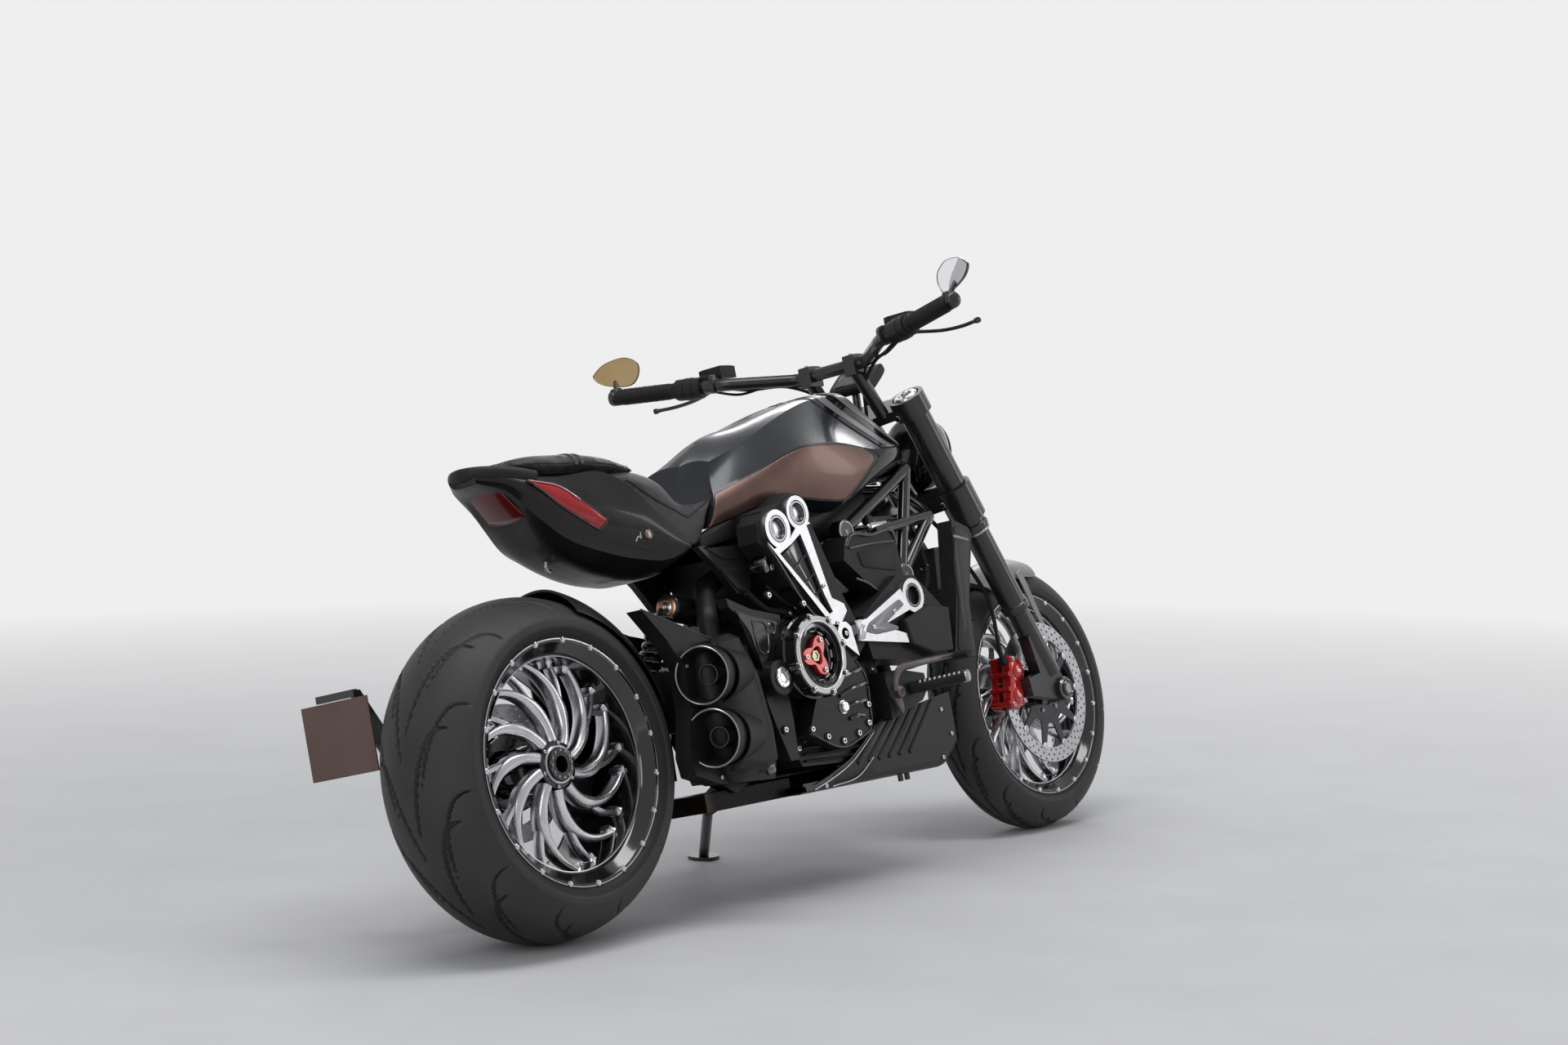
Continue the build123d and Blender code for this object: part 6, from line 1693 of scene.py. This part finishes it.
def makeCalipers():
    # sculpted halves on each side of the disc, piston caps, bridges, pins and screws
    u, v = np.array([0.968, 0, -0.25]), np.array([0.25, 0, 0.968])
    centre = np.array([1478, 0, 331.7])

    def place(shape):
        # from the caliper's own axes to the machine's
        points, faces = shape
        return centre + points[:, :1] * u + points[:, 2:] * v + points[:, 1:2] * leftward, faces

    body = [
        (-24, -60), (4, -60), (14, -50), (28, -46), (31, -26), (24, -8), (24, 8), (31, 26), (28, 46),
        (14, 50), (4, 60), (-24, 60), (-31, 40), (-27, 20), (-27, -20), (-31, -40)]
    solids = [plateShape(body, -101, -82.6, 4.5, 7), plateShape(body, -46, -66, 4, 7)]
    for z in (-28, 28):
        solids.append(turnShape(
            [(0, -106.4), (13, -106.4), (15, -105.4), (19, -103), (20.5, -98), (20.5, -90)], (2, 0, z),
            segments=36))
    for z in (-50, -17, 17, 50):
        solids.append(sweepShape(
            np.array([(-27, y, z) for y in (-100, -97, -84, -64, -52, -48)]), 6.5, 5.5, 14, (0, 0, 1), 0.6))
    for x, z in ((-22, -52), (-22, 52), (20, -37), (20, 37)):
        solids.append(turnShape(
            [(0, -103.5), (7, -103.5), (8.4, -101.5), (8.4, -92)], (x, 0, z), segments=24))
    solids = [place(s) for s in solids]
    putPiece("caliperBodies", solids, "caliperRed", "steering", ("front_calipers",), sharp=38, both=True)
    screws = [place(repeated(
        boltShape(5.4, 5), [(x, -103, z) for x, z in ((-22, -52), (-22, 52), (20, -37), (20, 37))]))]
    screws += [
        place(turnShape([(0, -107.6), (4, -107.6), (5, -106.4), (5, -104)], (2, 0, z), segments=20))
        for z in (-28, 28)]
    screws.append(place(sweepShape(
        np.array([(-20, y, 0) for y in (-101, -90, -70, -48)]), 3, 3, 12, (0, 0, 1))))
    putPiece("caliperScrews", screws, "boltSteel", "steering", both=True)
    route = [
        (1452, -88, 388), (1436, -98, 430), (1440, -92, 520), (1420, -60, 620), (1385, -34, 700),
        (1350, -20, 745)]
    hose = tubeShape(route, 4.6, 70, 12)
    banjo = turnShape([(0, -9), (8, -9), (9, -7), (9, 7), (8, 9), (0, 9)], (1454, -88, 386), segments=24)
    putPiece("brakeHoses", [hose, banjo], "gripRubber", "steering", both=True)


def makeHeadlight():
    # ellipses along the lamp's axis, swelling to the bezel, then a domed lens
    axis = np.array([1, 0, -0.12]) / np.hypot(1, 0.12)
    up = np.array([0.12, 0, 1]) / np.hypot(1, 0.12)
    base = np.array([axisX(884) + 89, 0, 884.0])
    a = np.linspace(0, 2 * np.pi, 64, endpoint=False)
    shape = through(
        [(0, 40, 46), (6, 56, 64), (28, 71, 82), (50, 76, 88), (74, 71, 83), (88, 64, 76)],
        np.linspace(0, 88, 26))
    far = np.linspace(0, 88, 26)

    def oval(d, wide, high):
        # an ellipse square to the axis at a distance d along it
        return base + d * axis + wide * np.cos(a)[:, None] * leftward + high * np.sin(a)[:, None] * up

    rows = [oval(d, *size) for d, size in zip(far, shape)]
    putPiece(
        "headlightBowl", gridShape(np.array(rows), closed=True, caps=True), "glossBlack", "steering",
        ("headlight",))
    steps = ((1.0, 88), (0.97, 91), (0.8, 95), (0.5, 98), (0.2, 99.5), (0.02, 100))
    dome = np.array([oval(d, 62 * k, 74 * k) for k, d in steps])
    putPiece("headlightLens", gridShape(dome, closed=True), "clearLens", "steering")
    ring = oval(89, 63.5, 75.5)
    putPiece(
        "headlightBezel", sweepShape(np.concatenate([ring, ring[:2]]), 3.2, 3.2, 8, axis), "blackChrome",
        "steering")
    bar = [base + 96 * axis + s * leftward + 4 * up for s in (-40, -20, 0, 20, 40)]
    putPiece("headlightBar", sweepShape(curve(bar, 16), 4, 4, 10), "brightAlloy", "steering")


# Handlebar: x of the risers, the bends and the ends, then the ends' height and half width.
bars = {"riser": axisX(1070) - 15.6, "endZ": 1116.0, "half": 461.0}
bars["bend"] = bars["riser"] - 106
bars["end"] = bars["riser"] - 183


def makeBars():
    # grips ribbed every 6 mm, switch blocks, levers that taper as 8 - 3.2 t, cables, riser caps, dash
    riser, bend, end, endZ, half = (bars[key] for key in ("riser", "bend", "end", "endZ", "half"))
    away = np.array([bend - end, -(half - 215), 1090 - endZ])
    away /= np.linalg.norm(away)
    grips, weights, metal, shells, levers, buttons, cables = [], [], [], [], [], [], []
    for side in (-1, 1):
        tip = np.array([end, side * half, endZ])
        along = away * np.array([1, side, 1])
        d = np.linspace(-6, 144, 76)
        ribbed = (np.sin(d * 2 * np.pi / 6) > 0) & (d > 8) & (d < 126)
        r = 17.4 + 1.3 * ribbed + 4 * np.exp(-((d - 141) / 3) ** 2)
        profile = np.concatenate([[(14.1, -6)], np.stack([r, d], axis=1), [(14.1, 144)]])
        grips.append(turnShape(profile, tip, along, 40, looped=True))
        weights.append(turnShape(
            [(0, -24), (10, -24), (14, -22), (17, -18), (18, -10), (16, -6.5), (10, -6.5)], tip, along, 40))
        start = tip + along * 150
        for shift, size in ((4, 25), (24, 26.5), (42, 25)):
            shells.append(blockShape(start + along * shift, along, 10, size, size * 0.94, power=0.8))
        block = start + along * 60
        shells.append(blockShape(block + np.array([20, 0, 6]), along, 20, 18, 20))
        lid = block + np.array([48, 0, 28])
        shells.append(blockShape(lid, (0, 1, 0), 31, 26, 12.5))
        metal.append(blockShape(lid + np.array([0, 0, 13.5]), (0, 1, 0), 28, 23, 1.6))
        metal.append(blockShape(block + np.array([2, -side * 22, 2]), along, 5, 17, 21, power=0.7))
        for dx, dz in ((-14, 16), (-22, 4), (-20, -10)):
            at = start + along * 26 + np.array([dx, 0, dz])
            buttons.append(turnShape([(0, 4), (4.6, 4), (5.4, 2.6), (5.4, -6)], at, (-0.8, 0, 0.4), 20))
        route = np.array([
            (24, 262, 1098), (42, 300, 1091), (46, 345, 1083), (40, 400, 1079), (26, 454, 1080)])
        line = curve(route + (bend, 0, 0), 40) * (1, side, 1)
        t = np.linspace(0, 1, 40)
        knob = np.exp(-((t - 0.985) / 0.03) ** 2)
        wide = 8 - 3.2 * t + 4.2 * knob + 2 * np.exp(-(t / 0.08) ** 2)
        levers.append(sweepShape(line, wide, 4.2 + 2.8 * knob, 14))
        levers.append(turnShape(
            [(0, 8), (7, 8), (8, 6), (8, -6), (7, -8), (0, -8)], (bend + 26, side * 268, 1098), (0, 0, 1),
            24))
        metal.append(turnShape(
            [(0, 10), (3.6, 10), (4, 8), (4, 4)], (bend + 26, side * 268, 1098), (0, 0, 1), 16))
        for radius, route in (
            (3.8, [(18, 258, 1094), (44, 200, 1074), (96, 120, 1062), (128, 60, 1020), (150, 36, 960)]),
            (3.0, [(10, 262, 1084), (26, 210, 1066), (70, 130, 1070), (118, 74, 1044), (150, 46, 985)]),
        ):
            cables.append(tubeShape([(bend + x, side * y, z) for x, y, z in route], radius, 60, 10))
    putPiece("gripSleeves", grips, "gripRubber", "steering", ("hand_grips",), sharp=50)
    putPiece("barEnds", weights, "satinFrame", "steering")
    putPiece("switchShells", shells, "grainPlastic", "steering", sharp=40)
    putPiece("switchMetal", metal, "satinFrame", "steering")
    putPiece("switchButtons", buttons[:3] + buttons[4:], "grainPlastic", "steering")
    putPiece("stopButton", buttons[0], "redAnodised", "steering")
    putPiece("leverBlades", levers, "satinFrame", "steering", ("control_levers",), sharp=50)
    putPiece("barCables", cables, "gripRubber", "steering")
    caps = []
    for side in (-1, 1):
        caps.append(blockShape((riser, side * 62, 1088), (0, 1, 0), 14, 20, 6))
        caps.append(repeated(
            boltShape(4.4, 4, (0, 0, 1)), [(riser + dx, side * 62 - 2.06, 1091.94) for dx in (-12, 12)]))
    putPiece("riserCaps", caps, "plainSteel", "steering")
    dash = riser + 80
    putPiece(
        "dashShell", blockShape((dash, 0, 1046), (0, 1, 0), 57, 40, 13, (-0.6, 0, 0.8), 0.5), "grainPlastic",
        "steering", ("instrument",))
    flat = roundCorners([(-46, -27), (46, -27), (42, 27), (-42, 27)], 8, 4)
    high, out = np.array([0.8, 0, 0.6]), np.array([-0.6, 0, 0.8])
    rows = [np.array([dash, 0, 1046.0]) + f * flat[:, :1] * leftward + f * flat[:, 1:] * high + lift * out
            for f, lift in ((1.04, 12.4), (1.0, 14.4), (0.96, 14.4), (0.95, 13.6), (0.02, 13.6))]
    putPiece("dashScreen", gridShape(np.array(rows), closed=True), "screenBlack", "steering")
    putPiece(
        "dashStem", tubeShape([(dash - 10, 0, 1036), (dash - 13, 0, 1000), (dash - 16, 0, 962)], 9, 12, 16),
        "satinFrame", "steering")


def makeMirrors():
    # leaf-shaped heads: crowned back, thin rim and the glass, on bent stems; each is set to its own angle
    leaf = [
        (54, -18), (50, -5), (36, 12), (14, 25), (-12, 34), (-34, 32), (-49, 25), (-56, 10), (-54, -10),
        (-44, -25), (-24, -32), (4, -34), (34, -31)]
    end, half, endZ = (bars[key] for key in ("end", "half", "endZ"))
    # the left glass is tinted gold as a painted reflection; the right one is plain mirror
    for name, side, slope, glass in (("Left", 1, 0.25, "goldMirror"), ("Right", -1, 0.3, "mirrorGlass")):
        p = np.array([0, side, slope]) / np.hypot(1, slope)
        face = np.array([-1, -0.36 * side, 0.1])
        face /= np.linalg.norm(face)
        q = np.cross(face, p)
        q *= np.sign(q[2]) / np.linalg.norm(q)
        p = np.cross(q, face)
        p *= side * np.sign(p[1])
        centre = np.array([end + 20, side * (half + 12), 1176.0])
        ring = closedCurve(leaf, 91)
        around = ring[:, :1] * p + ring[:, 1:] * q
        back = (
            (0.02, -11), (0.35, -10.4), (0.66, -8), (0.88, -4.4), (0.98, 0), (1.0, 3), (0.995, 5.6),
            (0.965, 6.4), (0.95, 5.2))
        rows = np.array([centre + f * around + lift * face for f, lift in back])
        putPiece(
            "mirrorShell" + name, gridShape(rows, closed=True), "glossBlack", "steering",
            ("mirrors",) if side > 0 else ())
        rows = np.array([
            centre + f * around + (6.4 - 1.2 * f**2) * face for f in (0.955, 0.8, 0.5, 0.2, 0.01)])
        putPiece("mirrorGlass" + name, gridShape(rows, closed=True), glass, "steering")
        base = np.array([end, side * half, endZ])
        stem = curve(
            [
                base + (-2, side * 4, 14), base + (6, side * 11, 26), base + (14, side * 15, 38),
                centre - 12 * face - 14 * q],
            24)
        foot = blockShape(base + (-2, side * 4, 10), (0, 1, 0), 9, 13, 12, power=0.7)
        putPiece("mirrorStem" + name, [sweepShape(stem, 5.5, 5.5, 14), foot], "satinFrame", "steering")


def makeFender():
    # a crowned thin shell over the tyre: its distance from the axle falls with y^2, its ends are rounded
    along = np.radians(np.linspace(-30, 17, 52))
    t = np.linspace(-1, 1, 29)
    end = np.clip(1 - ((np.degrees(along) + 6.5) / 25.5) ** 8, 0, 1)[:, None] ** 0.25
    rows = []
    for lift, sign in ((0.0, 1), (-4.0, -1)):
        y = 71.0 * t[None, ::sign] * (0.55 + 0.45 * end)
        r = 319.5 + lift - 46 * (y / 71) ** 2 - 3 * np.abs(y / 71) ** 8
        a = along[:, None] - np.radians(4) * (y / 71) ** 2 * np.sign(along[:, None] + 0.08)
        rows.append(np.stack([front["leg"] + r * np.sin(a), y, front["axle"] + r * np.cos(a)], axis=2))
    shell = np.concatenate([rows[0], rows[1]], axis=1)
    putPiece(
        "fenderShell", gridShape(shell, closed=True, caps=True), "fenderSilver", "steering",
        ("front_fender",), sharp=50)
    strap = curve(
        [(1606, -70.5, 582), (1622, -70, 552), (1648, -69, 496), (1687, -68.6, 404), (1690, -68.6, 372)], 40)
    wide = np.linspace(11, 6, 40)
    stay = sweepShape(strap, wide, 1.7, 16, (0, 1, 0), 0.5)
    putPiece("fenderStraps", stay, "fenderSilver", "steering", both=True)


def makeControls():
    # foot pedals: a band bent forward, pivot boss and ribbed pads; pegs with studded rubber
    band = curve(
        [
            (886, -207, 356), (888, -207, 376), (906, -209, 398), (950, -214, 405), (1020, -219, 409),
            (1088, -224, 411)],
        50)
    t = np.linspace(0, 1, 50)
    bands = [sweepShape(band, 9.5 - 4.5 * t, 4.5, 18, (0, 1, 0), 0.6)]
    bands.append(turnShape(
        [(0, -188), (13, -188), (13, -212), (11, -214.5), (6, -215), (5, -213), (0, -213)], (896, 0, 354),
        segments=40))
    plate = plateShape([(872, 372), (910, 372), (916, 318), (906, 306)], -199, -194, 2, 5)
    ribbed = 9 + 1.0 * (np.arange(30) % 3 == 0)
    pad = sweepShape(curve([(1085, y, 409) for y in (-203, -218, -240, -263)], 30), ribbed, ribbed, 18)
    root, tip = np.array([968, -196, 358.3]), np.array([1004, -304, 362.2])
    line = root + np.linspace(0, 1, 40)[:, None] * (tip - root)
    peg = sweepShape(line, 17, 11 + 1.2 * (np.arange(40) % 4 < 2), 24, power=0.7)
    spots = [root + (0.14 + 0.095 * k) * (tip - root) + np.array([across * 0.95, across * 0.316, 9.8])
             for across in (-13, 13) for k in range(9)]
    studs = repeated(turnShape([(0, 2.6), (1.6, 2.2), (2.8, 0), (2.8, -3)], (0, 0, 0), (0, 0, 1), 12), spots)
    cap = turnShape([(0, 6), (10, 6), (13, 4), (13.6, 0), (13.6, -8)], tip, tip - root, 32)
    for name, shapes, finish, node in (
        ("pedalBands", bands, "pedalBronze", ("foot_pedals",)),
        ("pedalPads", pad, "gripRubber", ()),
        ("pedalPlates", plate, "pedalBronze", ()),
        ("pegRubber", peg, "gripRubber", ()),
        ("pegStuds", studs, "brightAlloy", ()),
        ("pegEnds", cap, "plainSteel", ()),
    ):
        putPiece(name, shapes, finish, replaces=node, both=True)


makeFender()
makeControls()
makeFork()
makeCalipers()
makeHeadlight()
makeBars()
makeMirrors()
print("front end made")


# The camera as fitted to the photo (m, radians, mm of lens), and the stage's sizes in m.
view = {"place": (-3.99447, -3.68409, 1.15876), "yaw": 0.669, "pitch": -0.069, "lens": 67.91}
stageSizes = {"reach": 13.0, "back": 10.0, "rise": 8.0, "bend": 1.5}


def makeStage():
    # a floor that bends up into a backdrop: a flat run, a quarter circle and an upright run
    reach, back, rise, turn = stageSizes.values()
    bend = np.linspace(0, np.pi / 2, 13)
    run = np.concatenate([[-reach], back + turn * np.sin(bend), [back + turn]])
    height = np.concatenate([[0.0], turn - turn * np.cos(bend), [rise]])
    across = np.array([-reach * 2, reach * 2])
    depth, side = np.meshgrid(run, across, indexing="ij")
    tall, _ = np.meshgrid(height, across, indexing="ij")
    yaw = view["yaw"]
    x = depth * np.cos(yaw) - side * np.sin(yaw)
    y = depth * np.sin(yaw) + side * np.cos(yaw)
    points = np.stack([x, y, tall], axis=-1).reshape(-1, 3)
    rows = np.arange(len(run) - 1)
    faces = np.stack([rows * 2, rows * 2 + 2, rows * 2 + 3, rows * 2 + 1], axis=1)
    mesh = bpy.data.meshes.new("studioFloor")
    mesh.from_pydata(points.tolist(), [], faces.tolist())
    mesh.polygons.foreach_set("use_smooth", np.ones(len(faces), bool))
    floor = bpy.data.objects.new("studioFloor", mesh)
    bpy.context.scene.collection.objects.link(floor)
    shade = Shade("studioPaper", Roughness=0.9)
    shade.feed(
        "Base Color", shade.blend(shade.spread(shade.noise(3), 0, 1), (0.56, 0.56, 0.57), (0.6, 0.6, 0.61)))
    # towards the backdrop the camera sees an even near-white tone
    x, y, z = shade.parts(shade.place())
    away = (x * x + y * y + z * z).maths("SQRT")
    seen = shade.node("ShaderNodeLightPath", out="Is Camera Ray")
    for kind in ("Is Glossy Ray", "Is Transmission Ray"):
        seen = seen + shade.node("ShaderNodeLightPath", out=kind)
    seen = seen.clamped() * shade.spread(away, 0.0, 1.0, 1.2, 6.0)
    glow = shade.node("ShaderNodeEmission", links={"Color": (0.86, 0.86, 0.865), "Strength": 1.0})
    mixed = shade.node(
        "ShaderNodeMixShader", links={0: seen, 1: Wire(shade, shade.shader.outputs[0]), 2: glow})
    shade.tree.links.new(mixed.socket, shade.tree.nodes["Material Output"].inputs["Surface"])
    mesh.materials.append(shade.material)


def makeLamp(name, place, aim, size, power):
    # a rectangular lamp turned towards a point
    lamp = bpy.data.lights.new(name, "AREA")
    lamp.shape = "RECTANGLE"
    lamp.size, lamp.size_y = size
    lamp.energy = power
    holder = bpy.data.objects.new(name, lamp)
    bpy.context.scene.collection.objects.link(holder)
    holder.location = place
    holder.rotation_mode = "QUATERNION"
    holder.rotation_quaternion = (Vector(aim) - Vector(place)).to_track_quat("-Z", "Y")


def makeCamera():
    # looks along (cos pitch cos yaw, cos pitch sin yaw, sin pitch) from the photo's place
    camera = bpy.data.cameras.new("view")
    camera.lens = view["lens"]
    camera.sensor_width = 36
    camera.clip_end = 60
    holder = bpy.data.objects.new("view", camera)
    bpy.context.scene.collection.objects.link(holder)
    holder.location = Vector(view["place"]) + Vector((stance["shiftX"], stance["shiftY"], 0))
    ahead = Vector((
        np.cos(view["pitch"]) * np.cos(view["yaw"]),
        np.cos(view["pitch"]) * np.sin(view["yaw"]),
        np.sin(view["pitch"]),
    ))
    holder.rotation_mode = "QUATERNION"
    holder.rotation_quaternion = ahead.to_track_quat("-Z", "Y")
    bpy.context.scene.camera = holder


def makeLight():
    # four lamps and the air
    makeLamp("overhead", (-0.4, -0.6, 3.8), (0, 0, 0.3), (4.4, 1.0), 75)
    makeLamp("sideLeft", (-4.4, -1.4, 2.0), (-0.3, 0, 0.5), (1.2, 2.0), 22)
    makeLamp("sideRight", (3.7, -3.4, 2.0), (0.1, -0.2, 0.5), (0.7, 2.2), 20)
    makeLamp("behind", (4.0, 2.2, 3.3), (0, 0, 0.6), (2.6, 0.9), 45)
    world = bpy.data.worlds.new("studioAir")
    bpy.context.scene.world = world
    world.use_nodes = True
    back = world.node_tree.nodes["Background"]
    back.inputs["Color"].default_value = (0.9, 0.92, 0.95, 1)
    # the air lights at half strength and looks near white to the camera
    ray = world.node_tree.nodes.new("ShaderNodeLightPath")
    level = world.node_tree.nodes.new("ShaderNodeMapRange")
    level.inputs["To Min"].default_value = 0.5
    level.inputs["To Max"].default_value = 0.92
    world.node_tree.links.new(ray.outputs["Is Camera Ray"], level.inputs["Value"])
    world.node_tree.links.new(level.outputs["Result"], back.inputs["Strength"])


makeStage()
makeCamera()
makeLight()
bpy.context.scene.view_settings.view_transform = "Standard"
print("stage, camera and light set")
